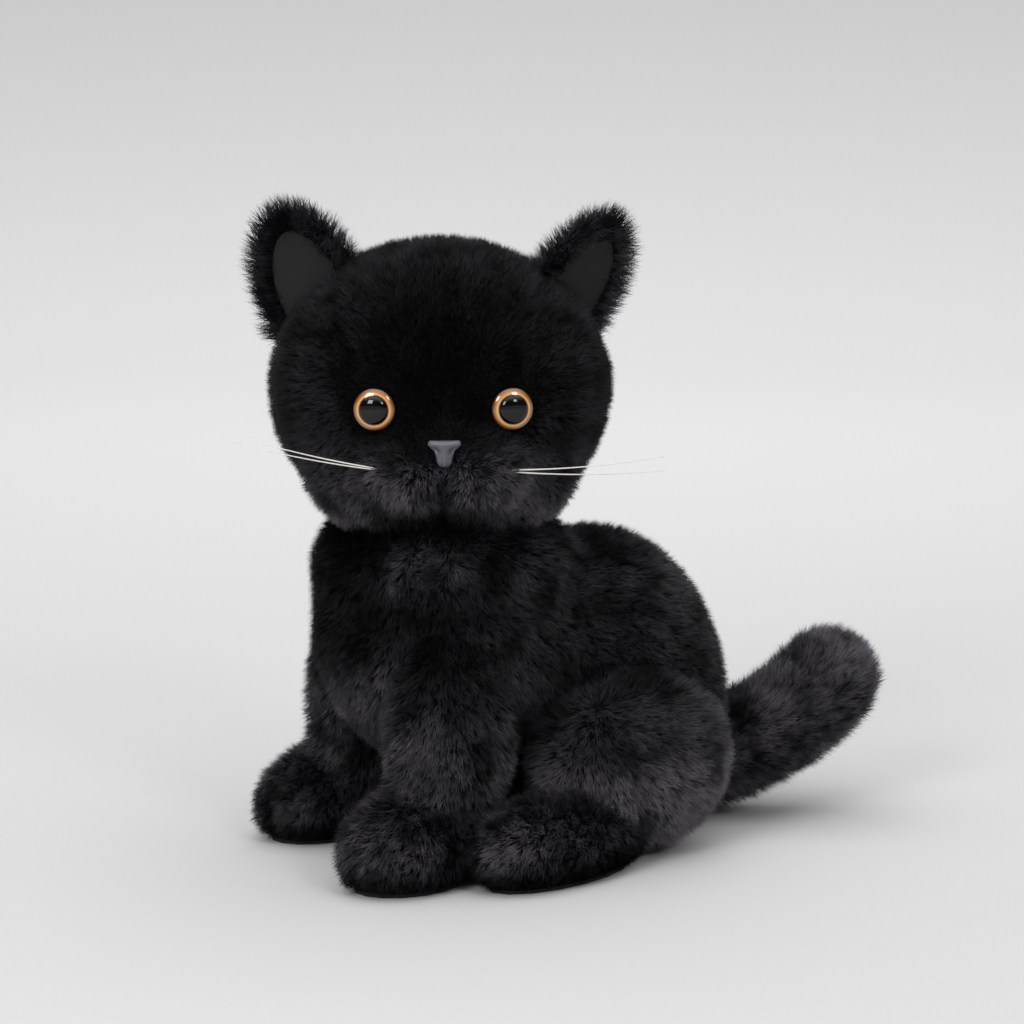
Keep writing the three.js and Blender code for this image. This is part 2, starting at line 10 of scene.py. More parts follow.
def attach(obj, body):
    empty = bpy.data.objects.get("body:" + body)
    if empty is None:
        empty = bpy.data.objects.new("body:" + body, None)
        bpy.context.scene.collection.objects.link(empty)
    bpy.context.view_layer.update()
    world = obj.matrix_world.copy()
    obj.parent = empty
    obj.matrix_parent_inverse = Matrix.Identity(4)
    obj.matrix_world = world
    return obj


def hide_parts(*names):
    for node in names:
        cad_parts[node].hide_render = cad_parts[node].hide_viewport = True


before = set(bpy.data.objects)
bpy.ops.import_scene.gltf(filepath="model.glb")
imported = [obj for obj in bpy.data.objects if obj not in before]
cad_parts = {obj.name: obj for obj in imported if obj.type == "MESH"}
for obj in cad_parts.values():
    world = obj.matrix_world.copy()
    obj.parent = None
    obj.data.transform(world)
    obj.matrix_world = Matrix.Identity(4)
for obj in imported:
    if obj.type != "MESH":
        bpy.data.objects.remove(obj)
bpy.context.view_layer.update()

# ---------- torso ----------
# The body is one bag of knitted faux-fur fabric, sewn from a chest panel, two sides and a base,
# turned right side out and blown full of polyester fibre, so each panel is proud between its seams.
MM = 0.001
VOXEL = 4.0
CHEST = {"centre": (0, -64, 90), "radii": (50.5, 47.5, 53.5)}
SHOULDERS = {"centre": (0, -64, 112), "radii": (50.5, 48, 31.5)}
SADDLE = {"centre": (0, -30, 83), "radii": (42, 37, 42)}
RUMP = {"centre": (0, 0, 51), "radii": (50, 54, 70)}
CHEST_PANEL_HALF = 21
HEAD_CENTRE = np.array([0.0, -65.0, 181.5])
HEAD_SEAT_RADIUS = 56.0       # the hollow at the top of the body that the head is sewn into
TORSO_PILE = 6.0
SEAT_PILE = 1.2               # the pile is pressed flat where the cat sits on it
PILE_SPLIT = -40              # the sides' pile is grown in a front and a back half
SEAM_HALF = VOXEL * 0.6       # how far to each side of a seam the fabric is held by it
SEAM_HOLD = 0.8               # how firmly, where 1 can't move at all
COWLICK = np.array([40, -92, 119])   # where the pile parts under the chin
COWLICK_RADIUS = 13
COLOUR_A, COLOUR_B = 6, 7     # the two colour sockets of a Mix node
skins = []                    # every stuffed skin, with the panels that its pile is grown on


def linear(hex_colour):
    """sRGB hex to the linear colour that a shader socket takes."""
    parts = [int(hex_colour[i:i + 2], 16) / 255 for i in (1, 3, 5)]
    return [c / 12.92 if c <= 0.04045 else ((c + 0.055) / 1.055) ** 2.4 for c in parts] + [1.0]


def add_node(tree, kind, inputs=None, **settings):
    """One node with its settings, and its sockets set to a value or linked to another node's socket."""
    made = tree.nodes.new(kind)
    for name, value in settings.items():
        setattr(made, name, value)
    for key, value in (inputs or {}).items():
        if isinstance(value, bpy.types.NodeSocket):
            tree.links.new(value, made.inputs[key])
        else:
            made.inputs[key].default_value = value
    return made


def new_material(name):
    """An empty node material with its Principled shader, ready for links."""
    material = bpy.data.materials.new(name)
    material.use_nodes = True
    tree = material.node_tree
    tree.nodes.clear()
    shader = add_node(tree, "ShaderNodeBsdfPrincipled")
    add_node(tree, "ShaderNodeOutputMaterial", {"Surface": shader.outputs["BSDF"]})
    return material, tree, shader


def link_object(name, mesh):
    made = bpy.data.objects.new(name, mesh)
    bpy.context.scene.collection.objects.link(made)
    return made


def object_from(form, name):
    """A linked object with the mesh of a bmesh form, which is freed."""
    mesh = bpy.data.meshes.new(name)
    form.to_mesh(mesh)
    form.free()
    return link_object(name, mesh)


def vertices_of(piece):
    """The places of a piece's vertices, in millimetres."""
    co = np.zeros(len(piece.data.vertices) * 3)
    piece.data.vertices.foreach_get("co", co)
    return co.reshape(-1, 3) / MM


def move_vertices(piece, points):
    piece.data.vertices.foreach_set("co", (points * MM).ravel())
    piece.data.update()


def normals_of(piece):
    found = np.zeros(len(piece.data.vertices) * 3)
    piece.data.vertices.foreach_get("normal", found)
    return found.reshape(-1, 3)


def bake_modifiers(piece):
    """The mesh as its modifiers leave it, with none left on the piece."""
    graph = bpy.context.evaluated_depsgraph_get()
    mesh = bpy.data.meshes.new_from_object(piece.evaluated_get(graph))
    piece.modifiers.clear()
    piece.data = mesh
    return piece


def stuffed_form(name, lobes, soften=6, voxel=VOXEL):
    """One closed skin round rounded lobes, each a centre, three radii and a turn about Z in degrees."""
    shape = bmesh.new()
    for lobe in lobes:
        place = Matrix.Translation(Vector(lobe["centre"]) * MM)
        place @= Matrix.Rotation(math.radians(lobe.get("turn", 0)), 4, "Z")
        place @= Matrix.Diagonal(Vector(lobe["radii"]) * MM).to_4x4()
        bmesh.ops.create_icosphere(shape, subdivisions=4, radius=1, matrix=place)
    piece = object_from(shape, name)
    remesh = piece.modifiers.new("skin", "REMESH")
    remesh.mode = "VOXEL"
    remesh.voxel_size = voxel * MM
    soft = piece.modifiers.new("soften", "SMOOTH")
    soft.factor = 0.5
    soft.iterations = soften
    return bake_modifiers(piece)


def stuff(piece, sewn, cap=3.0, pressure=4.0, stiffness=12, frames=20):
    """Blows the skin up as its filling does, by at most cap. Vertices with weight 1 in sewn are held
    by a seam."""
    rest = vertices_of(piece)
    pins = piece.vertex_groups.new(name="sewn")
    for index, weight in enumerate(sewn):
        if weight > 0:
            pins.add([index], float(weight), "REPLACE")
    cloth = piece.modifiers.new("stuffing", "CLOTH")
    cloth.settings.use_pressure = True
    cloth.settings.uniform_pressure_force = pressure
    cloth.settings.vertex_group_mass = "sewn"
    cloth.settings.tension_stiffness = stiffness
    cloth.settings.compression_stiffness = stiffness
    cloth.settings.effector_weights.gravity = 0
    cloth.point_cache.frame_start = 1
    cloth.point_cache.frame_end = frames
    for step in range(1, frames + 1):
        bpy.context.scene.frame_set(step)
    bake_modifiers(piece)
    piece.vertex_groups.clear()
    moved = vertices_of(piece) - rest
    reach = np.linalg.norm(moved, axis=1, keepdims=True)
    move_vertices(piece, rest + moved * np.minimum(1, cap / np.maximum(reach, 1e-6)))
    bpy.context.scene.frame_set(1)


def subdivide(piece):
    finer = piece.modifiers.new("finer", "SUBSURF")
    finer.levels = 1
    finer.render_levels = 1
    return bake_modifiers(piece)


def seat_on_floor(piece, height):
    """Flattens whatever lies under a height, as the fabric lies on its sole or on the floor."""
    points = vertices_of(piece)
    points[:, 2] = np.maximum(points[:, 2], height)
    move_vertices(piece, points)


def near(distance, width):
    """1 on a line and 0 beyond its width."""
    return np.clip(1 - np.abs(distance) / width, 0, 1)


def fading(distance, width):
    """1 on a place, and less the further off it is, to about a third at the width."""
    return np.exp(-(distance / width) ** 2)


def lay_pile(piece, direction, lean, length, painted_light_and_shade):
    """Stores which way the pile is brushed at each point, how far it leans over, its length, and the
    painted light and shade on its tips: from 0, painted dark as shade, to 1 and over, painted pale as
    light."""
    normals = normals_of(piece)
    flat = direction - normals * np.sum(direction * normals, axis=1, keepdims=True)
    flat /= np.maximum(np.linalg.norm(flat, axis=1, keepdims=True), 1e-6)
    comb = flat * np.broadcast_to(lean, len(flat))[:, None]
    stored = piece.data.attributes.new("comb", "FLOAT_VECTOR", "POINT")
    stored.data.foreach_set("vector", comb.astype(np.float32).ravel())
    for name, values in (("pile", length * MM), ("painted_light_and_shade", painted_light_and_shade)):
        stored = piece.data.attributes.new(name, "FLOAT", "POINT")
        stored.data.foreach_set("value", np.broadcast_to(values, len(flat)).astype(np.float32))


def turn_comb(piece, matrix):
    """Turns the stored comb as the piece itself has been turned."""
    stored = piece.data.attributes["comb"]
    comb = np.zeros(len(stored.data) * 3, np.float32)
    stored.data.foreach_get("vector", comb)
    turned = comb.reshape(-1, 3) @ np.array(matrix.to_3x3()).T
    stored.data.foreach_set("vector", turned.astype(np.float32).ravel())


torso = stuffed_form("torso_skin", [CHEST, SHOULDERS, SADDLE, RUMP])
seat_on_floor(torso, 0)
spots = vertices_of(torso)
chest_seam = near(np.abs(spots[:, 0]) - CHEST_PANEL_HALF, SEAM_HALF) * (spots[:, 1] < CHEST["centre"][1])
back_seam = near(spots[:, 0], SEAM_HALF) * (spots[:, 1] > CHEST["centre"][1])
on_floor = (spots[:, 2] < 2).astype(float)
stuff(torso, np.maximum(np.maximum(chest_seam, back_seam) * SEAM_HOLD, on_floor))
subdivide(torso)
seat_on_floor(torso, 0)
# the head's hollow: what would reach into the head is pressed out onto its ball
spots = vertices_of(torso)
from_head = spots - HEAD_CENTRE
reach = np.linalg.norm(from_head, axis=1, keepdims=True)
pressed = HEAD_CENTRE + from_head / reach * HEAD_SEAT_RADIUS
move_vertices(torso, np.where(reach < HEAD_SEAT_RADIUS, pressed, spots))
# the pile is brushed down and back from the neck, and stands up and parts round the cowlick; its tips
# are painted pale as painted light on the back, in a band low across the chest and round the cowlick,
# and painted dark as painted shade on the chest front and lower down
spots = vertices_of(torso)
away = spots - (HEAD_CENTRE - np.array([0, 0, 25]))
away /= np.linalg.norm(away, axis=1, keepdims=True)
front = np.clip((-60 - spots[:, 1]) / 20, 0, 1)
painted_light_band = fading(spots[:, 2] - 62 - 0.35 * spots[:, 0], 14) * front
cowlick = fading(np.linalg.norm((spots - COWLICK) / np.array([1, 1, 0.6]), axis=1), COWLICK_RADIUS)
higher = np.interp(spots[:, 2], [20, 110], [0.5, 1])
painted_light_and_shade = 0.32 * (1 - front) * higher + 0.02 * front + 0.7 * painted_light_band + 1.3 * cowlick
sideways = np.sin(spots[:, 0] / 3.2 + spots[:, 1] / 4.1)
away += np.stack([sideways, sideways, 0.8 + 0 * sideways], axis=1) * (1.6 * cowlick)[:, None]
length = np.where(spots[:, 2] < 1, SEAT_PILE, TORSO_PILE)
lay_pile(torso, away + np.array([0, 0.25, -0.7]), 0.32 + 0.4 * cowlick, length, painted_light_and_shade)
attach(torso, "torso")
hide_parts("base_panel", "chest_panel", "torso_left_panel", "torso_right_panel", "torso_filling")


def on_chest_panel(p):
    return (np.abs(p[:, 0]) <= CHEST_PANEL_HALF) & (p[:, 1] < CHEST["centre"][1])


def on_left(p):
    return p[:, 0] > 0


def before_split(p):
    return p[:, 1] < PILE_SPLIT


skins.append({"skin": torso, "body": "torso", "panels": {
    "torso_chest_pile": on_chest_panel,
    "torso_front_left_pile": lambda p: on_left(p) & before_split(p) & ~on_chest_panel(p),
    "torso_front_right_pile": lambda p: ~on_left(p) & before_split(p) & ~on_chest_panel(p),
    "torso_back_left_pile": lambda p: on_left(p) & ~before_split(p),
    "torso_back_right_pile": lambda p: ~on_left(p) & ~before_split(p),
}})

# ---------- hind legs ----------
# Each hind leg is a padded thigh lobe sewn flat against the side, with a stuffed foot coming out
# from under it. The fur on the thigh is brushed down and outwards from a crown near its top.
SIDES = {"left": 1, "right": -1}
THIGH = {"centre": (42, -5, 38), "radii": (23, 41, 35)}
HIND_FOOT = {"centre": (55, -43, 12), "radii": (18, 40, 20), "turn": 14}
THIGH_SEAM = 38               # how far out from the middle the lobe's edge is sewn to the side
THIGH_CROWN = (-18, 44)       # how far back and how high the crown is
THIGH_PILE = 6.2
SOLE_TOP = 2.0
FOOT_RIM = 7.0                # the short pile round the edge of a sole, its tips painted dark as shade near the floor


def on_side(lobe, side):
    x, y, z = lobe["centre"]
    return {"centre": (x * side, y, z), "radii": lobe["radii"], "turn": lobe.get("turn", 0) * side}


for word, side in SIDES.items():
    thigh = stuffed_form(f"thigh_{word}_skin", [on_side(THIGH, side)])
    spots = vertices_of(thigh)
    stuff(thigh, near(spots[:, 0] * side - THIGH_SEAM, VOXEL))
    subdivide(thigh)
    seat_on_floor(thigh, 1)
    spots = vertices_of(thigh)
    crown = np.array([(THIGH["centre"][0] + THIGH["radii"][0]) * side, *THIGH_CROWN])
    from_crown = (spots - crown) / THIGH["radii"][1] + np.array([0, 0.35, -0.75])
    # painted light and shade: the thigh's tips are painted palest low down, where the pile is brushed
    # down, and darker towards its top
    painted_light_and_shade = np.interp(spots[:, 2], [6, 24, 44, 66], [1.0, 1.8, 0.5, 0.3])
    lay_pile(thigh, from_crown, 0.34, THIGH_PILE, painted_light_and_shade)
    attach(thigh, "torso")
    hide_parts(f"thigh_{word}_panel", f"thigh_{word}_filling")
    skins.append({"skin": thigh, "body": "torso",
                  "panels": {f"thigh_{word}_pile": lambda p: p[:, 2] > 0}})

    foot = stuffed_form(f"hind_foot_{word}_skin", [on_side(HIND_FOOT, side)])
    seat_on_floor(foot, SOLE_TOP)
    spots = vertices_of(foot)
    stuff(foot, (spots[:, 2] < SOLE_TOP + 1).astype(float))
    subdivide(foot)
    seat_on_floor(foot, SOLE_TOP)
    spots = vertices_of(foot)
    length = np.interp(spots[:, 2], [SOLE_TOP, FOOT_RIM], [2.2, 5.8])
    towards_toes = np.tile([0.3 * side, -1, -0.35], (len(spots), 1))
    # painted light and shade: the foot's tips are painted dark at the sole's rim and pale higher up
    lay_pile(foot, towards_toes, 0.36, length, np.interp(spots[:, 2], [FOOT_RIM, 16], [0.03, 0.9]))
    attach(foot, "torso")
    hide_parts(f"hind_foot_{word}_panel", f"hind_foot_{word}_filling")
    skins.append({"skin": foot, "body": "torso",
                  "panels": {f"hind_foot_{word}_pile": lambda p: p[:, 2] > SOLE_TOP + 0.3}})

# ---------- forelegs ----------
# Each foreleg is a stuffed tube of the same fabric that ends in a round paw, sewn shut at the top
# and stitched to the side of the chest. Two lines of stitches on the paw draw in its toes.
FORELEG = {"centre": (36, -80, 56), "radii": (20, 23, 46)}
FOREPAW = {"centre": (40, -99, 14), "radii": (19, 27, 21)}
TOE_CREASE = 6.5              # half the width of the middle toe
TOE_CREASE_DEPTH = 3.2        # and half the width of a crease
for word, side in SIDES.items():
    lobes = [on_side(FORELEG, side), on_side(FOREPAW, side)]
    leg = stuffed_form(f"foreleg_{word}_skin", lobes, soften=10)
    seat_on_floor(leg, SOLE_TOP)
    spots = vertices_of(leg)
    sides_seam = near(spots[:, 0] * side - FORELEG["centre"][0], SEAM_HALF) * SEAM_HOLD
    stuff(leg, np.maximum(sides_seam, spots[:, 2] < SOLE_TOP + 1))
    subdivide(leg)
    seat_on_floor(leg, SOLE_TOP)
    spots = vertices_of(leg)
    paw = FOREPAW["centre"]
    toe_line = np.abs(np.abs(spots[:, 0] * side - paw[0]) - TOE_CREASE)
    on_toes = np.clip((paw[1] - 8 - spots[:, 1]) / 8, 0, 1)
    drawn_in = np.clip(1 - toe_line / TOE_CREASE_DEPTH, 0, 1) * on_toes
    spots -= normals_of(leg) * (TOE_CREASE_DEPTH * drawn_in)[:, None]
    move_vertices(leg, spots)
    seat_on_floor(leg, SOLE_TOP)
    spots = vertices_of(leg)
    forward = np.interp(spots[:, 2], [15, 40], [-1.1, -0.15])
    direction = np.stack([0 * forward, forward, 0 * forward - 0.8], axis=1)
    length = np.interp(spots[:, 2], [SOLE_TOP, FOOT_RIM], [2.2, 6.0])
    # painted light and shade: the leg's tips are painted pale along its middle and dark at the sole's
    # rim and towards the top
    painted_light_and_shade = np.interp(spots[:, 2], [FOOT_RIM, 14, 30, 50, 80], [0.03, 0.7, 0.75, 0.75, 0.08])
    # painted shade down in the toe creases
    painted_light_and_shade *= 1 - 0.8 * drawn_in
    lay_pile(leg, direction, 0.36, length, painted_light_and_shade)
    body = f"foreleg_{word}"
    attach(leg, body)
    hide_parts(f"foreleg_{word}_outer_panel", f"foreleg_{word}_inner_panel",
                f"foreleg_{word}_filling")
    skins.append({"skin": leg, "body": body, "panels": {
        f"foreleg_{word}_pile": lambda p: p[:, 2] > SOLE_TOP + 0.3}})

# ---------- tail ----------
# The tail is a soft tube of two strips of fur fabric, sewn along the top and the underside, filled
# loosely, rounded at the tip and stitched to the seat over a small ball of filling.
TAIL_RADIUS = 18.5
TAIL_GROUND = 2               # clear under the tail
TAIL_PILE = 7.5
TAIL_PIVOT = np.array([0.0, 44.0, 21.0])
TAIL_ROUTE = [(0, 0, 0), (8, 18, 6), (15, 35, 15), (18, 50, 24), (18, 61, 33)]


def smooth_path(points, steps):
    """A Catmull-Rom path through the points, in a number of steps from each to the next."""
    p = np.array(points, float)
    p = np.vstack([2 * p[0] - p[1], p, 2 * p[-1] - p[-2]])
    found = []
    for i in range(1, len(p) - 2):
        for t in np.linspace(0, 1, steps, endpoint=False):
            a, b, c, d = p[i - 1:i + 3]
            found.append(0.5 * (2 * b + (c - a) * t + (2 * a - 5 * b + 4 * c - d) * t ** 2
                                + (3 * b - a - 3 * c + d) * t ** 3))
    found.append(p[-2])
    return np.array(found)


tail_path = smooth_path(TAIL_ROUTE, 8) + TAIL_PIVOT
lobes = [{"centre": tuple(p), "radii": (TAIL_RADIUS,) * 3} for p in tail_path]
tail = stuffed_form("tail_skin", lobes, soften=4)
spots = vertices_of(tail)
nearest = np.argmin(np.linalg.norm(spots[:, None] - tail_path[None], axis=2), axis=1)
stuff(tail, near(spots[:, 0] - tail_path[nearest, 0], SEAM_HALF) * SEAM_HOLD, cap=2.5)
subdivide(tail)
seat_on_floor(tail, TAIL_GROUND)
spots = vertices_of(tail)
nearest = np.argmin(np.linalg.norm(spots[:, None] - tail_path[None], axis=2), axis=1)
towards_tip = np.gradient(tail_path, axis=0)[nearest]
towards_tip /= np.linalg.norm(towards_tip, axis=1, keepdims=True)
# the tail's tips are painted pale all over, as painted light
lay_pile(tail, towards_tip, 0.55, TAIL_PILE, 1.15)
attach(tail, "tail")
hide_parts("tail_left_panel", "tail_right_panel", "tail_filling")
skins.append({"skin": tail, "body": "tail", "panels": {"tail_pile": lambda p: p[:, 2] > 0}})

# ---------- head ----------
# The head is a wide ball with a small snout, sewn from a forehead gusset, two cheeks and a muzzle
# patch. It is stuffed harder than the body and stitched into the hollow of the neck.
HEAD_TURN = 65
SKULL = {"centre": (0, 0, 0), "radii": (62.5, 49.5, 54)}
JAW = {"centre": (0, -17, -30.5), "radii": (50, 28, 25.5)}
MUZZLE = {"centre": (0, -37, -24), "radii": (27, 18, 17)}
LIPS = [{"centre": (x, -38, -27), "radii": (18, 19, 15)} for x in (-13, 13)]
BRIDGE = {"centre": (0, -39, -17), "radii": (14, 16, 12)}
HEAD_PLACE = Matrix.Translation(Vector(HEAD_CENTRE) * MM)
HEAD_PLACE @= Matrix.Rotation(math.radians(HEAD_TURN), 4, "Z")
EYE_SPACING = 50.0
EYE_HEIGHT = -4.0
NOSE_DROP = -18.5
HEAD_PILE = 5.6
SHORN_PILE = 1.6              # right round an eye and the nose
EYE_PULL, EYE_PULL_WIDTH = 2.2, 11
BROW_HOLLOW = 2.0
GUSSET_SEAM_DEPTH, GUSSET_SEAM_WIDTH = 1.5, 2.4
CLEFT_DEPTH, CLEFT_WIDTH = 5.0, 3.4
FACE_HALF, FACE_BACK = 26, -18   # the face's pile is grown as far to each side, and as far back
CHEEK_BACK = 4                # and the cheeks' pile as far back


def place_in_head(piece):
    """Moves a piece made about the head's centre to where the turned head is."""
    piece.data.transform(HEAD_PLACE)
    piece.data.update()
    return piece


def ball_front(x, z):
    """How far forward the face reaches at a point seen from in front, in millimetres."""
    rx, ry, rz = (r - 0.2 for r in SKULL["radii"])
    skull = -ry * math.sqrt(max(1 - (x / rx) ** 2 - (z / rz) ** 2, 0))
    mx, my, mz = (r + 1.0 for r in MUZZLE["radii"])
    left = 1 - (x / mx) ** 2 - ((z - MUZZLE["centre"][2]) / mz) ** 2
    snout = MUZZLE["centre"][1] - my * math.sqrt(left) if left > 0 else 0
    return min(skull, snout)


def from_gusset_seam(points):
    """How far to the side of a gusset seam a point of the unturned head is."""
    return np.abs(points[:, 0]) - np.interp(points[:, 2], [-60, 27], [6, 37])


head = stuffed_form("head_skin", [SKULL, JAW, *LIPS, BRIDGE], voxel=3.4)
spots = vertices_of(head)
stuff(head, near(from_gusset_seam(spots), SEAM_HALF) * (spots[:, 2] > -20) * SEAM_HOLD)
subdivide(head)
spots = vertices_of(head)
# the eyes are pulled in on their shanks, and the brow is hollow between them
eye_spots = [np.array([side * EYE_SPACING / 2, ball_front(EYE_SPACING / 2, EYE_HEIGHT), EYE_HEIGHT])
             for side in (1, -1)]
for eye_spot in eye_spots:
    spots[:, 1] += EYE_PULL * fading(np.linalg.norm(spots - eye_spot, axis=1), EYE_PULL_WIDTH)
brow = np.exp(-(spots[:, 0] / 13) ** 2 - ((spots[:, 2] - 2) / 14) ** 2) * (spots[:, 1] < 0)
spots[:, 1] += BROW_HOLLOW * brow
# the gusset's two seams lie a little below the pile
on_seam = fading(np.abs(from_gusset_seam(spots)), GUSSET_SEAM_WIDTH)
on_seam *= np.clip((spots[:, 2] - 2) / 12, 0, 1)
spots -= normals_of(head) * (GUSSET_SEAM_DEPTH * on_seam)[:, None]
# the muzzle's two lobes meet in a stitched line under the nose
under_nose = np.interp(spots[:, 2], [-48, -44, -34, -29], [0, 1, 1, 0])
spots[:, 1] += CLEFT_DEPTH * (fading(spots[:, 0], CLEFT_WIDTH) * (spots[:, 1] < -20) * under_nose)
move_vertices(head, spots)
# the pile is brushed away from the bridge of the nose, and down on the jaw
away = spots - np.array([0, -60, -20])
away /= np.linalg.norm(away, axis=1, keepdims=True)
low_face = np.clip((8 - spots[:, 2]) / 30, 0, 1) * np.clip((np.abs(spots[:, 0]) - 12) / 20, 0, 1)
direction = away + np.stack([0 * low_face, 0.2 + 0 * low_face, -0.9 * low_face], axis=1)
# it is shorn close round the eyes and the nose, and short on the face
to_eye = np.min([np.linalg.norm(spots - eye_spot, axis=1) for eye_spot in eye_spots], axis=0)
to_nose = np.linalg.norm(spots - np.array([0, -56, NOSE_DROP]), axis=1)
forward = np.clip((-18 - spots[:, 1]) / 20, 0, 1)
length = np.interp(np.minimum(to_eye - 2, to_nose), [5, 15], [SHORN_PILE, HEAD_PILE])
length *= 1 - 0.22 * forward
# its tips are painted pale as painted light on the lips and the jaw, and painted dark as painted shade
# on the brow, in the mouth and under the lips
on_lips = np.max([
    np.exp(-np.sum(((spots - np.array([side * 14, -52, -29])) / np.array([15, 20, 8])) ** 2, axis=1))
    for side in (1, -1)], axis=0)
under_lips_painted_shade = np.exp(-(spots[:, 0] / 25) ** 4) * (spots[:, 1] < 0)
under_lips_painted_shade *= np.clip((-37 - spots[:, 2]) / 5, 0, 1)
jaw_painted_light = np.clip((-14 - spots[:, 2]) / 26, 0, 1)
jaw_painted_light *= np.clip((np.abs(spots[:, 0]) + 24 + spots[:, 2] + 44) / 20, 0, 1)
# painted shade in the line of the mouth
mouth = fading(spots[:, 0], 5) * np.clip((-24 - spots[:, 2]) / 5, 0, 1) * (spots[:, 1] < 0)
brow_painted_shade = np.exp(-(spots[:, 0] / 34) ** 2 - ((spots[:, 2] - 14) / 26) ** 2) * (spots[:, 1] < 0)
painted_light_and_shade = np.clip(0.14 + 0.75 * jaw_painted_light + 1.0 * on_lips - 0.2 * brow_painted_shade, 0.02, 1)
painted_light_and_shade *= 1 - 0.95 * mouth
painted_light_and_shade *= 1 - 0.9 * under_lips_painted_shade
lay_pile(head, direction, 0.26 + 0.08 * on_lips, length, painted_light_and_shade)
place_in_head(head)
turn_comb(head, HEAD_PLACE)
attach(head, "head")
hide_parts("muzzle_panel", "forehead_gusset", "cheek_left_panel", "cheek_right_panel",
            "head_filling")


def in_head(points):
    """Points of the finished cat, in millimetres, as they lie on the unturned head."""
    return (points - HEAD_CENTRE) @ np.array(HEAD_PLACE.to_3x3())


def on_face(p):
    q = in_head(p)
    return (q[:, 1] < FACE_BACK) & (np.abs(q[:, 0]) <= FACE_HALF)


def on_cheeks(p):
    return (in_head(p)[:, 1] < CHEEK_BACK) & ~on_face(p)


def head_left(p):
    return in_head(p)[:, 0] > 0


def head_back(p):
    return in_head(p)[:, 1] >= CHEEK_BACK


skins.append({"skin": head, "body": "head", "panels": {
    "face_pile": on_face,
    "cheek_left_pile": lambda p: on_cheeks(p) & head_left(p),
    "cheek_right_pile": lambda p: on_cheeks(p) & ~head_left(p),
    "head_back_left_pile": lambda p: head_back(p) & head_left(p),
    "head_back_right_pile": lambda p: head_back(p) & ~head_left(p),
}})

# ---------- ears ----------
# Each ear is a rounded triangle of fur fabric, faced inside with a panel of smooth dark velvet that
# is sewn on a little way in from the edge, folded slightly and stitched into the gusset seam.
EAR_WIDTH = 40
EAR_HEIGHT = 39
EAR_THICK = 4.6
EAR_ROOT = -6
EAR_MARGIN = 8.4
EAR_BASE = (46, 2, 30)
EAR_TURNS = {"left": 36, "right": -14}
EAR_LEANS = {"left": 32, "right": -22}
EAR_PILE = 8.2
EAR_ROWS = 22
EAR_COLUMNS = 22


def bezier(points, t):
    a, b, c, d = (np.array(p, float) for p in points)
    s = 1 - t
    return a * s ** 3 + 3 * b * s * s * t + 3 * c * s * t * t + d * t ** 3


def ear_outline(inset, low, t):
    """Half the ear's width and its height at t, from its base at 0 to its tip at 1."""
    half = EAR_WIDTH / 2 - inset
    top = EAR_HEIGHT - inset
    x, z = bezier([(-half, low), (-half - 2, top * 0.62), (-half * 0.5, top), (0, top)], t)
    return -x, z


def ear_grid(inset, low, surface):
    """A sheet over the ear's outline, at the depth that surface gives for a place across and up it."""
    rows = [ear_outline(inset, low, t) for t in np.linspace(0, 1, EAR_ROWS)]
    sheet = bmesh.new()
    grid = []
    for r, (half, z) in enumerate(rows):
        line = []
        for u in np.linspace(-1, 1, EAR_COLUMNS):
            line.append(sheet.verts.new(Vector((half * u, surface(u, r / (EAR_ROWS - 1)), z)) * MM))
        grid.append(line)
    for low_line, high_line in zip(grid, grid[1:]):
        for i in range(EAR_COLUMNS - 1):
            sheet.faces.new((low_line[i], low_line[i + 1], high_line[i + 1], high_line[i]))
    return sheet


def ear_thickness(u, t):
    return EAR_THICK / 2 * math.sqrt(max(1 - abs(u) ** 5, 0)) * math.sqrt(max(1 - t ** 8, 0))


def ear_cup(u, t):
    """The ear is hollow in front: its edges come forward and its middle lies back."""
    return 2.2 * (1 - abs(u) ** 2) * (1 - t ** 3) - 1.0


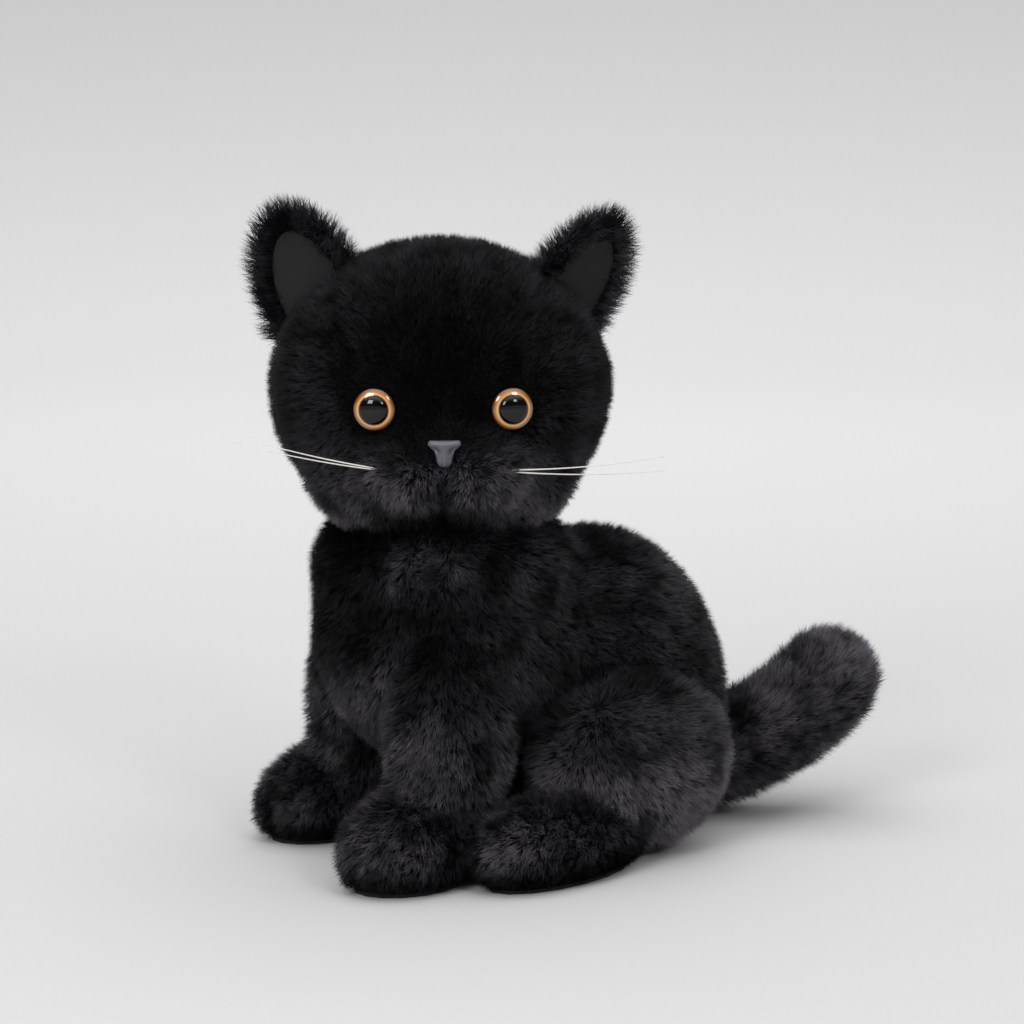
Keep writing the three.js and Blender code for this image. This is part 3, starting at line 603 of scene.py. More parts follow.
for word, side in SIDES.items():
    place = HEAD_PLACE @ Matrix.Translation(Vector((EAR_BASE[0] * side, EAR_BASE[1], EAR_BASE[2])) * MM)
    place @= Matrix.Rotation(math.radians(EAR_LEANS[word]), 4, "Y")
    place @= Matrix.Rotation(math.radians(EAR_TURNS[word]), 4, "Z")
    front = ear_grid(0, EAR_ROOT, lambda u, t: ear_cup(u, t) * 0.9 - ear_thickness(u, t))
    back = ear_grid(0, EAR_ROOT, lambda u, t: ear_cup(u, t) * 0.9 + ear_thickness(u, t))
    back_mesh = bpy.data.meshes.new("back")
    back.to_mesh(back_mesh)
    back.free()
    front.from_mesh(back_mesh)
    bmesh.ops.remove_doubles(front, verts=front.verts, dist=0.05 * MM)
    bmesh.ops.holes_fill(front, edges=[e for e in front.edges if e.is_boundary])
    bmesh.ops.recalc_face_normals(front, faces=front.faces)
    ear = object_from(front, f"ear_{word}_skin")
    spots = vertices_of(ear)
    rim = np.abs(spots[:, 0]) / (EAR_WIDTH / 2)
    direction = np.stack([spots[:, 0] / 16, 0 * rim, 0.9 + 0 * rim], axis=1)
    inside = normals_of(ear)[:, 1] < -0.3
    half, top = EAR_WIDTH / 2 - EAR_MARGIN, EAR_HEIGHT - EAR_MARGIN
    narrowing = np.sqrt(np.clip(1 - (np.maximum(spots[:, 2], 0) / top) ** 2.2, 0, 1))
    bare = inside & (np.abs(spots[:, 0]) < half * narrowing)
    lay_pile(ear, direction, np.where(inside, 0.25, 0.6), np.where(bare, 0.0, EAR_PILE), 0.5)
    ear.data.transform(place)
    turn_comb(ear, place)
    body = f"ear_{word}"
    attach(ear, body)
    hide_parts(f"ear_{word}_outer")
    skins.append({"skin": ear, "body": body, "panels": {f"ear_{word}_pile": lambda p: p[:, 2] > 0}})

    lining = ear_grid(EAR_MARGIN - 0.6, EAR_ROOT + 8,
                      lambda u, t: ear_cup(u * 0.8, t) * 0.9 - EAR_THICK / 2 - 0.5 + 0.7 * abs(u) ** 6)
    bmesh.ops.remove_doubles(lining, verts=lining.verts, dist=0.05 * MM)
    velvet_panel = object_from(lining, f"ear_{word}_velvet")
    wall = velvet_panel.modifiers.new("fabric", "SOLIDIFY")
    wall.thickness = 0.8 * MM
    wall.offset = 0
    bake_modifiers(velvet_panel)
    velvet_panel.data.transform(place)
    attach(velvet_panel, body)
    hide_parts(f"ear_{word}_lining")

# velvet: a woven ground with a pile under a millimetre high, dark from above and pale at its edges
velvet, tree, shader = new_material("cotton velvet")
coords = add_node(tree, "ShaderNodeTexCoord")
clouds = add_node(tree, "ShaderNodeTexNoise", {
    "Vector": coords.outputs["Object"], "Scale": 110.0, "Detail": 4.0})
ramp = add_node(tree, "ShaderNodeMix", {
    "Factor": clouds.outputs["Fac"], COLOUR_A: linear("#080708"), COLOUR_B: linear("#131114")},
    data_type="RGBA")
nap = add_node(tree, "ShaderNodeTexNoise", {
    "Vector": coords.outputs["Object"], "Scale": 1600.0, "Detail": 2.0})
bump = add_node(tree, "ShaderNodeBump", {
    "Height": nap.outputs["Fac"], "Strength": 0.5, "Distance": 0.0003})
tree.links.new(ramp.outputs[2], shader.inputs["Base Color"])
tree.links.new(bump.outputs["Normal"], shader.inputs["Normal"])
shader.inputs["Roughness"].default_value = 0.85
shader.inputs["Sheen Weight"].default_value = 0.06
shader.inputs["Sheen Roughness"].default_value = 0.4
shader.inputs["Sheen Tint"].default_value = linear("#8f8a98")
for word in SIDES:
    bpy.data.objects[f"ear_{word}_velvet"].data.materials.append(velvet)

# ---------- eyes ----------
# Each eye is a safety eye: a moulded amber disc with a domed black pupil, on a ribbed shank that is
# pushed through the fabric and locked behind it by a plastic washer.
EYE_RADIUS = 7.9
PUPIL_RADIUS = 5.4


def turned_form(name, profile, around=48):
    """A form of revolution about Z from radius and height pairs, closed at both poles."""
    form = bmesh.new()
    rings = []
    for radius, height in profile:
        if radius <= 0:
            rings.append([form.verts.new((0, 0, height * MM))])
            continue
        rings.append([form.verts.new((radius * MM * math.cos(2 * math.pi * i / around),
                                      radius * MM * math.sin(2 * math.pi * i / around), height * MM))
                      for i in range(around)])
    for a, b in zip(rings, rings[1:]):
        for i in range(around):
            j = (i + 1) % around
            corners = [a[i % len(a)], a[j % len(a)], b[j % len(b)], b[i % len(b)]]
            form.faces.new(list(dict.fromkeys(corners)))
    bmesh.ops.recalc_face_normals(form, faces=form.faces)
    for face in form.faces:
        face.smooth = True
    mesh = bpy.data.meshes.new(name)
    form.to_mesh(mesh)
    form.free()
    return link_object(name, mesh)


def dome(radius, height, from_height=0.0, steps=14):
    """A dome's profile from its rim to its top."""
    angles = np.linspace(0, math.pi / 2, steps)
    return [(radius * math.cos(a), from_height + height * math.sin(a)) for a in angles[:-1]] + [
        (0, from_height + height)]


def eye_place(side):
    """Where the eye sits and which way it looks: outwards, and a little more to the front."""
    x, z = side * EYE_SPACING / 2, EYE_HEIGHT
    y = ball_front(x, z)
    rx, ry, rz = SKULL["radii"]
    out = Vector((x / rx ** 2, y / ry ** 2, z / rz ** 2)).normalized()
    out = out.lerp(Vector((0, -1, 0)), 0.45).normalized()
    across = Vector((0, 0, 1)).cross(out).normalized()
    up = out.cross(across)
    place = Matrix((across, up, out)).transposed().to_4x4()
    place.translation = Vector((x, y + 0.2, z)) * MM
    return HEAD_PLACE @ place


# moulded acrylic: the amber is painted behind clear plastic, paler inwards and dark at the rim
amber, tree, shader = new_material("amber acrylic")
radial = add_node(tree, "ShaderNodeAttribute", attribute_name="across")
ring = add_node(tree, "ShaderNodeValToRGB", {"Fac": radial.outputs["Fac"]})
stops = [(0.0, "#1a0f06"), (0.68, "#2a1706"), (0.71, "#a8703a"), (0.75, "#e2ad6c"), (0.82, "#b97a38"),
         (0.90, "#7f4c1e"), (0.97, "#3a200c"), (1.0, "#1c0e05")]
for end, (position, colour) in zip(ring.color_ramp.elements, (stops[0], stops[-1])):
    end.position, end.color = position, linear(colour)
for position, colour in stops[1:-1]:
    ring.color_ramp.elements.new(position).color = linear(colour)
coords = add_node(tree, "ShaderNodeTexCoord")
fleck = add_node(tree, "ShaderNodeTexNoise", {
    "Vector": coords.outputs["Object"], "Scale": 900.0, "Detail": 2.0})
soft = add_node(tree, "ShaderNodeMix", {
    "Factor": 0.12, COLOUR_A: ring.outputs["Color"], COLOUR_B: fleck.outputs["Color"]},
    data_type="RGBA", blend_type="MULTIPLY")
tree.links.new(soft.outputs[2], shader.inputs["Base Color"])
shader.inputs["Roughness"].default_value = 0.22
shader.inputs["Coat Weight"].default_value = 1.0
shader.inputs["Coat Roughness"].default_value = 0.04
shader.inputs["IOR"].default_value = 1.49

# moulded black acrylic, polished, with the faintest waviness of the mould
jet, tree, shader = new_material("polished black acrylic")
coords = add_node(tree, "ShaderNodeTexCoord")
wave = add_node(tree, "ShaderNodeTexNoise", {"Vector": coords.outputs["Object"], "Scale": 260.0})
tint = add_node(tree, "ShaderNodeMix", {
    "Factor": wave.outputs["Fac"], COLOUR_A: linear("#020202"), COLOUR_B: linear("#0a0908")},
    data_type="RGBA")
tree.links.new(tint.outputs[2], shader.inputs["Base Color"])
shader.inputs["Roughness"].default_value = 0.05
shader.inputs["IOR"].default_value = 1.42

# moulded polypropylene washers, milky and slightly mottled
poly, tree, shader = new_material("moulded polypropylene")
coords = add_node(tree, "ShaderNodeTexCoord")
mottle = add_node(tree, "ShaderNodeTexNoise", {"Vector": coords.outputs["Object"], "Scale": 400.0})
tint = add_node(tree, "ShaderNodeMix", {
    "Factor": mottle.outputs["Fac"], COLOUR_A: linear("#cfcfca"), COLOUR_B: linear("#dededa")},
    data_type="RGBA")
tree.links.new(tint.outputs[2], shader.inputs["Base Color"])
shader.inputs["Roughness"].default_value = 0.5
for washer in ("eye_left_washer", "eye_right_washer", "nose_washer"):
    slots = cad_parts[washer].data.materials
    slots.clear()
    slots.append(poly)

for word, side in SIDES.items():
    place = eye_place(side)
    iris_profile = [(0, 0.4)] + [(EYE_RADIUS * k, 0.4) for k in (0.4, 0.8)] + [(EYE_RADIUS * 0.97, 0.1)]
    iris_profile += [(EYE_RADIUS * math.cos(a), 0.7 + 2.6 * math.sin(a))
                     for a in np.linspace(0.0, 1.2, 12)]
    iris_profile += [(PUPIL_RADIUS * 0.5, 3.0), (0, 3.1)]
    iris = turned_form(f"eye_{word}_amber", iris_profile)
    across = np.linalg.norm(vertices_of(iris)[:, :2], axis=1) / EYE_RADIUS
    stored = iris.data.attributes.new("across", "FLOAT", "POINT")
    stored.data.foreach_set("value", across.astype(np.float32))
    iris.data.materials.append(amber)
    iris.data.transform(place)
    pupil = turned_form(f"eye_{word}_black",
                        [(0, 2.0), (PUPIL_RADIUS, 2.0)] + dome(PUPIL_RADIUS, 2.3, 2.3))
    pupil.data.materials.append(jet)
    pupil.data.transform(place)
    for piece, node, finish in ((iris, "iris", "amber_iris"), (pupil, "pupil", "black_pupil")):
        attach(piece, "head")
        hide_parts(f"eye_{word}_{node}")

# ---------- nose ----------
# The nose is one moulded piece of dark soft plastic: a wide bar along the top, narrowing to a
# rounded stem, with a low ridge down its middle. Its shank is locked like the eyes'.
NOSE_WIDTH = 13.0
NOSE_HEIGHT = 10.4
NOSE_DEPTH = 3.6
# how high up the nose each width is, and what share it is of the whole width
NOSE_OUTLINE = ((0, 0.12), (0.06, 0.3), (0.2, 0.46), (0.42, 0.52), (0.6, 0.62), (0.72, 0.86), (0.8, 1),
                (0.93, 0.98), (1, 0.8))


def nose_half_width(v):
    """Half the nose's width at v, from 0 at its foot to 1 at its top."""
    return NOSE_WIDTH / 2 * float(np.interp(v, *zip(*NOSE_OUTLINE)))


nose_form = bmesh.new()
grid = []
NOSE_ROWS, NOSE_COLUMNS = 26, 25
for v in np.linspace(0, 1, NOSE_ROWS):
    line = []
    for u in np.linspace(-1, 1, NOSE_COLUMNS):
        edge = math.sqrt(max(1 - u ** 4, 0)) * math.sqrt(max(1 - (2 * v - 1) ** 6, 0))
        ridge = 1.3 * math.exp(-(u * 3) ** 2) * (0.4 + 0.6 * (1 - v))
        nostril = -1.7 * math.exp(-((abs(u) - 0.7) * 4.0) ** 2 - ((v - 0.64) * 8) ** 2)
        height = NOSE_DEPTH * edge * (0.72 + 0.28 * v) + (ridge + nostril) * edge
        spot = Vector((nose_half_width(v) * u, -height, NOSE_HEIGHT * (v - 0.55)))
        line.append(nose_form.verts.new(spot * MM))
    grid.append(line)
for low_line, high_line in zip(grid, grid[1:]):
    for i in range(NOSE_COLUMNS - 1):
        nose_form.faces.new((low_line[i], low_line[i + 1], high_line[i + 1], high_line[i]))
bmesh.ops.holes_fill(nose_form, edges=[e for e in nose_form.edges if e.is_boundary])
bmesh.ops.recalc_face_normals(nose_form, faces=nose_form.faces)
for part in nose_form.faces:
    part.smooth = True
nose = object_from(nose_form, "nose_moulding")
finer = nose.modifiers.new("finer", "SUBSURF")
finer.levels = finer.render_levels = 1
bake_modifiers(nose)
nose.data.transform(Matrix.Translation(Vector((0, ball_front(0, NOSE_DROP) - 0.6, NOSE_DROP)) * MM))
place_in_head(nose)
# moulded vinyl: satin, with a fine pebbled skin from the mould
vinyl, tree, shader = new_material("moulded vinyl")
coords = add_node(tree, "ShaderNodeTexCoord")
pebble = add_node(tree, "ShaderNodeTexVoronoi", {"Vector": coords.outputs["Object"], "Scale": 1500.0})
cloud = add_node(tree, "ShaderNodeTexNoise", {"Vector": coords.outputs["Object"], "Scale": 180.0})
tint = add_node(tree, "ShaderNodeMix", {
    "Factor": cloud.outputs["Fac"], COLOUR_A: linear("#424046"), COLOUR_B: linear("#66646d")},
    data_type="RGBA")
bump = add_node(tree, "ShaderNodeBump", {
    "Height": pebble.outputs["Distance"], "Strength": 0.35, "Distance": 0.0002})
tree.links.new(tint.outputs[2], shader.inputs["Base Color"])
tree.links.new(bump.outputs["Normal"], shader.inputs["Normal"])
shader.inputs["Roughness"].default_value = 0.34
nose.data.materials.append(vinyl)
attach(nose, "head")
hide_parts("nose")

# ---------- whiskers ----------
# The whiskers are stiff clear-white nylon bristles, two a side, thickest where they are knotted
# into the muzzle and drawn out fine towards the tip, so each one bows under its own weight.
WHISKER_LENGTH = 62
WHISKER_ROOT = (19.5, -26)
WHISKER_RISES = {"left": (3.5, -1.5), "right": (14, 11.5)}
WHISKER_THICK = 0.56
WHISKER_SWEEP = 8             # how far the tip lies back
WHISKER_BOW = np.array([0, -10, -1.5])


def tapered_tube(name, path, radius_at, around=8):
    """A closed round tube along a path of points in millimetres."""
    tube = bmesh.new()
    rings = []
    for i, point in enumerate(path):
        ahead = Vector(path[min(i + 1, len(path) - 1)]) - Vector(path[max(i - 1, 0)])
        turn_to = ahead.to_track_quat("Z", "Y")
        radius = radius_at(i / (len(path) - 1))
        rings.append([tube.verts.new((Vector(point) + turn_to @ Vector((
            radius * math.cos(angle), radius * math.sin(angle), 0))) * MM)
            for angle in (2 * math.pi * k / around for k in range(around))])
    for a, b in zip(rings, rings[1:]):
        for k in range(around):
            tube.faces.new((a[k], a[(k + 1) % around], b[(k + 1) % around], b[k]))
    for end in (rings[0], rings[-1]):
        tube.faces.new(end)
    bmesh.ops.recalc_face_normals(tube, faces=tube.faces)
    for part in tube.faces:
        part.smooth = True
    return object_from(tube, name)


# drawn nylon monofilament: milky white, satin, with faint drawing lines along it
nylon, tree, shader = new_material("nylon monofilament")
coords = add_node(tree, "ShaderNodeTexCoord")
lines = add_node(tree, "ShaderNodeTexNoise", {
    "Vector": coords.outputs["Object"], "Scale": 700.0, "Detail": 3.0})
tint = add_node(tree, "ShaderNodeMix", {
    "Factor": lines.outputs["Fac"], COLOUR_A: linear("#bdbbb6"), COLOUR_B: linear("#e9e8e4")},
    data_type="RGBA")
tree.links.new(tint.outputs[2], shader.inputs["Base Color"])
shader.inputs["Roughness"].default_value = 0.3
shader.inputs["IOR"].default_value = 1.53
for word, side in SIDES.items():
    for index, place_word in enumerate(("upper", "lower")):
        root_z = WHISKER_ROOT[1] + 0.3 * (0.5 - index)
        root = np.array([WHISKER_ROOT[0] * side, ball_front(WHISKER_ROOT[0], root_z) + 0.5, root_z])
        tip = root + np.array([WHISKER_LENGTH * side, WHISKER_SWEEP, WHISKER_RISES[word][index]])
        middle = (root + tip) / 2 + WHISKER_BOW
        steps = np.linspace(0, 1, 24)[:, None]
        path = root * (1 - steps) ** 2 + 2 * middle * steps * (1 - steps) + tip * steps ** 2
        bristle = tapered_tube(f"whisker_{word}_{place_word}_bristle", path,
                               lambda s: WHISKER_THICK / 2 * (1 - 0.75 * s ** 1.5))
        bristle.data.materials.append(nylon)
        place_in_head(bristle)
        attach(bristle, "head")
        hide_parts(f"whisker_{word}_{place_word}")

# ---------- thread ----------
# Two lines of black polyester thread show where the pile parts: the short stitch that draws in the
# mouth under the nose, and the ring of closing stitches that holds the head on the body.
thread, tree, shader = new_material("polyester sewing thread")
coords = add_node(tree, "ShaderNodeTexCoord")
ply = add_node(tree, "ShaderNodeTexWave", {
    "Vector": coords.outputs["Object"], "Scale": 900.0}, bands_direction="DIAGONAL")
tint = add_node(tree, "ShaderNodeMix", {
    "Factor": ply.outputs["Fac"], COLOUR_A: linear("#060606"), COLOUR_B: linear("#1c1b1e")},
    data_type="RGBA")
tree.links.new(tint.outputs[2], shader.inputs["Base Color"])
shader.inputs["Roughness"].default_value = 0.7
MOUTH_THREAD_RADIUS = 0.55
MOUTH_DEPTH = 4.2             # how far behind the lips the thread lies
mouth_path = [(0, ball_front(0, z) + MOUTH_DEPTH, z)
              for z in np.linspace(NOSE_DROP - 12, NOSE_DROP - 20, 10)]
mouth = tapered_tube("mouth_thread", mouth_path, lambda s: MOUTH_THREAD_RADIUS)
mouth.data.materials.append(thread)
place_in_head(mouth)
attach(mouth, "head")
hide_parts("mouth_stitch")
NECK_RING = 23.0
NECK_REACH = 57.4             # from the middle of the head to the stitches
NECK_THREAD_RADIUS = 0.5
NECK_STITCHES, STITCH_RISE = 14, 0.5
ring_height = HEAD_CENTRE[2] - math.sqrt(NECK_REACH ** 2 - NECK_RING ** 2)
ring_path = [(NECK_RING * math.cos(a), HEAD_CENTRE[1] + NECK_RING * math.sin(a),
              ring_height + STITCH_RISE * math.sin(NECK_STITCHES * a))
             for a in np.linspace(0, 2 * math.pi, 90)]
ring = tapered_tube("neck_stitches", ring_path, lambda s: NECK_THREAD_RADIUS)
ring.data.materials.append(thread)
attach(ring, "neck")
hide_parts("neck_seam_thread", "neck_filling")

# ---------- soles and tail root ----------
# Flat soles of short-napped fabric close the four feet underneath, and a ball of loose polyester
# fibre is what the tail turns about inside the seat.
nap, tree, shader = new_material("napped knit")
coords = add_node(tree, "ShaderNodeTexCoord")
loops = add_node(tree, "ShaderNodeTexVoronoi", {"Vector": coords.outputs["Object"], "Scale": 900.0})
tint = add_node(tree, "ShaderNodeMix", {
    "Factor": loops.outputs["Distance"], COLOUR_A: linear("#0c0b0d"), COLOUR_B: linear("#1d1b1f")},
    data_type="RGBA")
bump = add_node(tree, "ShaderNodeBump", {
    "Height": loops.outputs["Distance"], "Strength": 0.6, "Distance": 0.0004})
tree.links.new(tint.outputs[2], shader.inputs["Base Color"])
tree.links.new(bump.outputs["Normal"], shader.inputs["Normal"])
shader.inputs["Roughness"].default_value = 0.9
for name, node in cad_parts.items():
    if name.endswith("_sole"):
        node.data.materials.clear()
        node.data.materials.append(nap)
fibre, tree, shader = new_material("polyester fibre filling")
coords = add_node(tree, "ShaderNodeTexCoord")
wisps = add_node(tree, "ShaderNodeTexNoise", {
    "Vector": coords.outputs["Object"], "Scale": 300.0, "Detail": 6.0})
tint = add_node(tree, "ShaderNodeMix", {
    "Factor": wisps.outputs["Fac"], COLOUR_A: linear("#d8d6d0"), COLOUR_B: linear("#f2f1ed")},
    data_type="RGBA")
bump = add_node(tree, "ShaderNodeBump", {
    "Height": wisps.outputs["Fac"], "Strength": 0.8, "Distance": 0.001})
tree.links.new(tint.outputs[2], shader.inputs["Base Color"])
tree.links.new(bump.outputs["Normal"], shader.inputs["Normal"])
shader.inputs["Roughness"].default_value = 1.0
root_ball = stuffed_form("tail_root_fibre",
                         [{"centre": tuple(TAIL_PIVOT), "radii": (9.5, 9.5, 9.5)}], voxel=2.5)
root_ball.data.materials.append(fibre)
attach(root_ball, "tail_root")
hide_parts("tail_root_filling")

# ---------- pile ----------
# The fur is a dense acrylic pile knitted into the fabric: fine tapered fibres, brushed one way on
# each panel, gathered into small tufts, with painted shade darkening each fibre down to its root, where
# no light gets in.
FIBRE_WIDTH = 0.27            # a few real fibres together: one alone is too fine to show
STRANDS_PER_MM2 = 4.0
TUFT_SIZE = 3.2
BRUSH_SIZE = 10.0             # how far apart the strokes of the brush change direction

# dyed acrylic fibre: black with a cool cast, satin along each fibre; its colour is painted dark at the
# root as painted shade, and pale at the tip by the skin's painted light and shade and random patches
pile_look, tree, shader = new_material("dyed acrylic pile")
along = add_node(tree, "ShaderNodeAttribute", attribute_name="along")
shade = add_node(tree, "ShaderNodeAttribute", attribute_name="shade")
coords = add_node(tree, "ShaderNodeTexCoord")
clouds = add_node(tree, "ShaderNodeTexNoise", {
    "Vector": coords.outputs["Object"], "Scale": 62.0, "Detail": 4.0, "Roughness": 0.6})
patches = add_node(tree, "ShaderNodeMapRange", {
    0: clouds.outputs["Fac"], 1: 0.38, 2: 0.62, 3: 0.1, 4: 1.0})
painted_light_and_shade = add_node(tree, "ShaderNodeAttribute", attribute_name="painted_light_and_shade")
toned = add_node(tree, "ShaderNodeMath", {
    0: along.outputs["Fac"], 1: shade.outputs["Fac"]}, operation="MULTIPLY")
mixed = add_node(tree, "ShaderNodeMath", {
    0: toned.outputs[0], 1: painted_light_and_shade.outputs["Fac"]}, operation="MULTIPLY")
lifted = add_node(tree, "ShaderNodeMath", {
    0: mixed.outputs[0], 1: patches.outputs[0]}, operation="MULTIPLY")
doubled = add_node(tree, "ShaderNodeMath", {
    0: lifted.outputs[0], 1: 1.7}, operation="MULTIPLY", use_clamp=True)
tint = add_node(tree, "ShaderNodeMix", {
    "Factor": doubled.outputs[0], COLOUR_A: linear("#030203"), COLOUR_B: linear("#646169")},
    data_type="RGBA")
tree.links.new(tint.outputs[2], shader.inputs["Base Color"])
shader.inputs["Roughness"].default_value = 0.55
shader.inputs["IOR"].default_value = 1.5
shader.inputs["Specular IOR Level"].default_value = 0.16

# the knitted ground that the pile stands in, nearly black
ground, tree, shader = new_material("knitted pile ground")
coords = add_node(tree, "ShaderNodeTexCoord")
knit = add_node(tree, "ShaderNodeTexVoronoi", {"Vector": coords.outputs["Object"], "Scale": 700.0})
tint = add_node(tree, "ShaderNodeMix", {
    "Factor": knit.outputs["Distance"], COLOUR_A: linear("#040304"), COLOUR_B: linear("#0d0c0e")},
    data_type="RGBA")
bump = add_node(tree, "ShaderNodeBump", {
    "Height": knit.outputs["Distance"], "Strength": 0.6, "Distance": 0.0005})
tree.links.new(tint.outputs[2], shader.inputs["Base Color"])
tree.links.new(bump.outputs["Normal"], shader.inputs["Normal"])
shader.inputs["Roughness"].default_value = 0.95
shader.inputs["Specular IOR Level"].default_value = 0.1
for made in skins:
    made["skin"].data.materials.clear()
    made["skin"].data.materials.append(ground)
    for polygon in made["skin"].data.polygons:
        polygon.use_smooth = True


def pile_tree():
    """The node tree that grows tapered, bent fibres on a surface, brushed along its comb attribute."""
    tree = bpy.data.node_groups.new("pile", "GeometryNodeTree")
    sockets = tree.interface
    for name, kind, value in (("Geometry", "NodeSocketGeometry", None),
                              ("Density", "NodeSocketFloat", 3.3e6),
                              ("Fibre width", "NodeSocketFloat", 0.0003),
                              ("Stray", "NodeSocketFloat", 0.25),
                              ("Brush size", "NodeSocketFloat", 0.014),
                              ("Brush strokes", "NodeSocketFloat", 0.6),
                              ("Tuft size", "NodeSocketFloat", 0.004),
                              ("Tuft pull", "NodeSocketFloat", 0.5),
                              ("Bend", "NodeSocketFloat", 0.25), ("Seed", "NodeSocketInt", 1),
                              ("Material", "NodeSocketMaterial", None)):
        made = sockets.new_socket(name, in_out="INPUT", socket_type=kind)
        if value is not None:
            made.default_value = value
    sockets.new_socket("Geometry", in_out="OUTPUT", socket_type="NodeSocketGeometry")
    given = add_node(tree, "NodeGroupInput").outputs

    def maths(operation, a, b=0.0):
        return add_node(tree, "ShaderNodeMath", {0: a, 1: b}, operation=operation).outputs[0]

    def vectors(operation, a, b=(0, 0, 0), scale=None):
        inputs = {0: a}
        if operation == "SCALE":
            inputs["Scale"] = scale
        elif operation != "NORMALIZE":
            inputs[1] = b
        made = add_node(tree, "ShaderNodeVectorMath", inputs, operation=operation)
        return made.outputs["Vector"]

    def random(low, high, seed):
        return add_node(tree, "FunctionNodeRandomValue", {2: low, 3: high, "Seed": seed}).outputs[1]

    pile = add_node(tree, "GeometryNodeInputNamedAttribute", {
        "Name": "pile"}, data_type="FLOAT").outputs[0]
    comb = add_node(tree, "GeometryNodeInputNamedAttribute", {
        "Name": "comb"}, data_type="FLOAT_VECTOR").outputs[0]
    position = add_node(tree, "GeometryNodeInputPosition").outputs[0]
    furry = add_node(tree, "FunctionNodeCompare", {
        0: pile, 1: 0.0008}, data_type="FLOAT", operation="GREATER_THAN")
    roots = add_node(tree, "GeometryNodeDistributePointsOnFaces", {
        "Mesh": given["Geometry"], "Selection": furry.outputs[0], "Density": given["Density"],
        "Seed": given["Seed"]})

    # one blade: two wide by three high, drawn to a point and bent over
    blade = add_node(tree, "GeometryNodeMeshGrid", {
        "Size X": 1.0, "Size Y": 1.0, "Vertices X": 2, "Vertices Y": 3})
    flat = add_node(tree, "ShaderNodeSeparateXYZ", {0: position}).outputs
    up = maths("ADD", flat["Y"], 0.5)
    taper = maths("SUBTRACT", 1.0, maths("POWER", up, 1.4))
    bent = maths("MULTIPLY", maths("MULTIPLY", up, up), given["Bend"])
    spot = add_node(tree, "ShaderNodeCombineXYZ", {
        "X": maths("MULTIPLY", flat["X"], taper), "Y": bent, "Z": up})
    marked = add_node(tree, "GeometryNodeStoreNamedAttribute", {
        "Geometry": blade.outputs["Mesh"], "Name": "along", "Value": up}, data_type="FLOAT",
        domain="POINT")
    shaped = add_node(tree, "GeometryNodeSetPosition", {
        "Geometry": marked.outputs[0], "Position": spot.outputs[0]})
    pointed = add_node(tree, "GeometryNodeMergeByDistance", {
        "Geometry": shaped.outputs[0], "Distance": 0.001})

    # its direction: out of the cloth, over along the comb, swayed by brush strokes and drawn into tufts
    strokes = add_node(tree, "ShaderNodeTexNoise", {
        "Vector": position, "Scale": maths("DIVIDE", 1.0, given["Brush size"]), "Detail": 2.0})
    sway = vectors("SCALE", vectors("SUBTRACT", strokes.outputs["Color"], (0.5, 0.5, 0.5)),
                   scale=maths("MULTIPLY", given["Brush strokes"], 4.0))
    cells = add_node(tree, "ShaderNodeTexVoronoi", {
        "Vector": position, "Scale": maths("DIVIDE", 1.0, given["Tuft size"])})
    gather = vectors("SCALE", vectors("SUBTRACT", cells.outputs["Position"], position),
                     scale=maths("DIVIDE", given["Tuft pull"], given["Tuft size"]))
    loose = add_node(tree, "FunctionNodeRandomValue", {
        0: (-1, -1, -1), 1: (1, 1, 1), "Seed": 5}, data_type="FLOAT_VECTOR").outputs[0]
    stray = vectors("SCALE", loose, scale=given["Stray"])
    lay = vectors("ADD", vectors("ADD", comb, sway), vectors("ADD", gather, stray))
    out = vectors("NORMALIZE", vectors("ADD", lay, roots.outputs["Normal"]))
    rotation = add_node(tree, "FunctionNodeAxesToRotation", {
        0: out, 1: comb}, primary_axis="Z", secondary_axis="Y")
    twist = add_node(tree, "ShaderNodeCombineXYZ", {"Z": random(-0.9, 0.9, 7)})
    spin = add_node(tree, "FunctionNodeEulerToRotation", {0: twist.outputs[0]})
    turned = add_node(tree, "FunctionNodeRotateRotation", {
        0: rotation.outputs[0], 1: spin.outputs[0]}, rotation_space="LOCAL")
    length = maths("MULTIPLY", pile, random(0.72, 1.06, 3))
    size = add_node(tree, "ShaderNodeCombineXYZ", {
        "X": maths("MULTIPLY", given["Fibre width"], random(0.7, 1.3, 4)), "Y": length, "Z": length})
    placed = add_node(tree, "GeometryNodeInstanceOnPoints", {
        "Points": roots.outputs["Points"], "Instance": pointed.outputs[0],
        "Rotation": turned.outputs[0], "Scale": size.outputs[0]})
    shaded = add_node(tree, "GeometryNodeStoreNamedAttribute", {
        "Geometry": placed.outputs[0], "Name": "shade", "Value": random(0.55, 1.0, 9)},
        data_type="FLOAT", domain="INSTANCE")
    real = add_node(tree, "GeometryNodeRealizeInstances", {"Geometry": shaded.outputs[0]})
    finished = add_node(tree, "GeometryNodeSetMaterial", {
        "Geometry": real.outputs[0], "Material": given["Material"]})
    add_node(tree, "NodeGroupOutput", {"Geometry": finished.outputs[0]})
    return tree


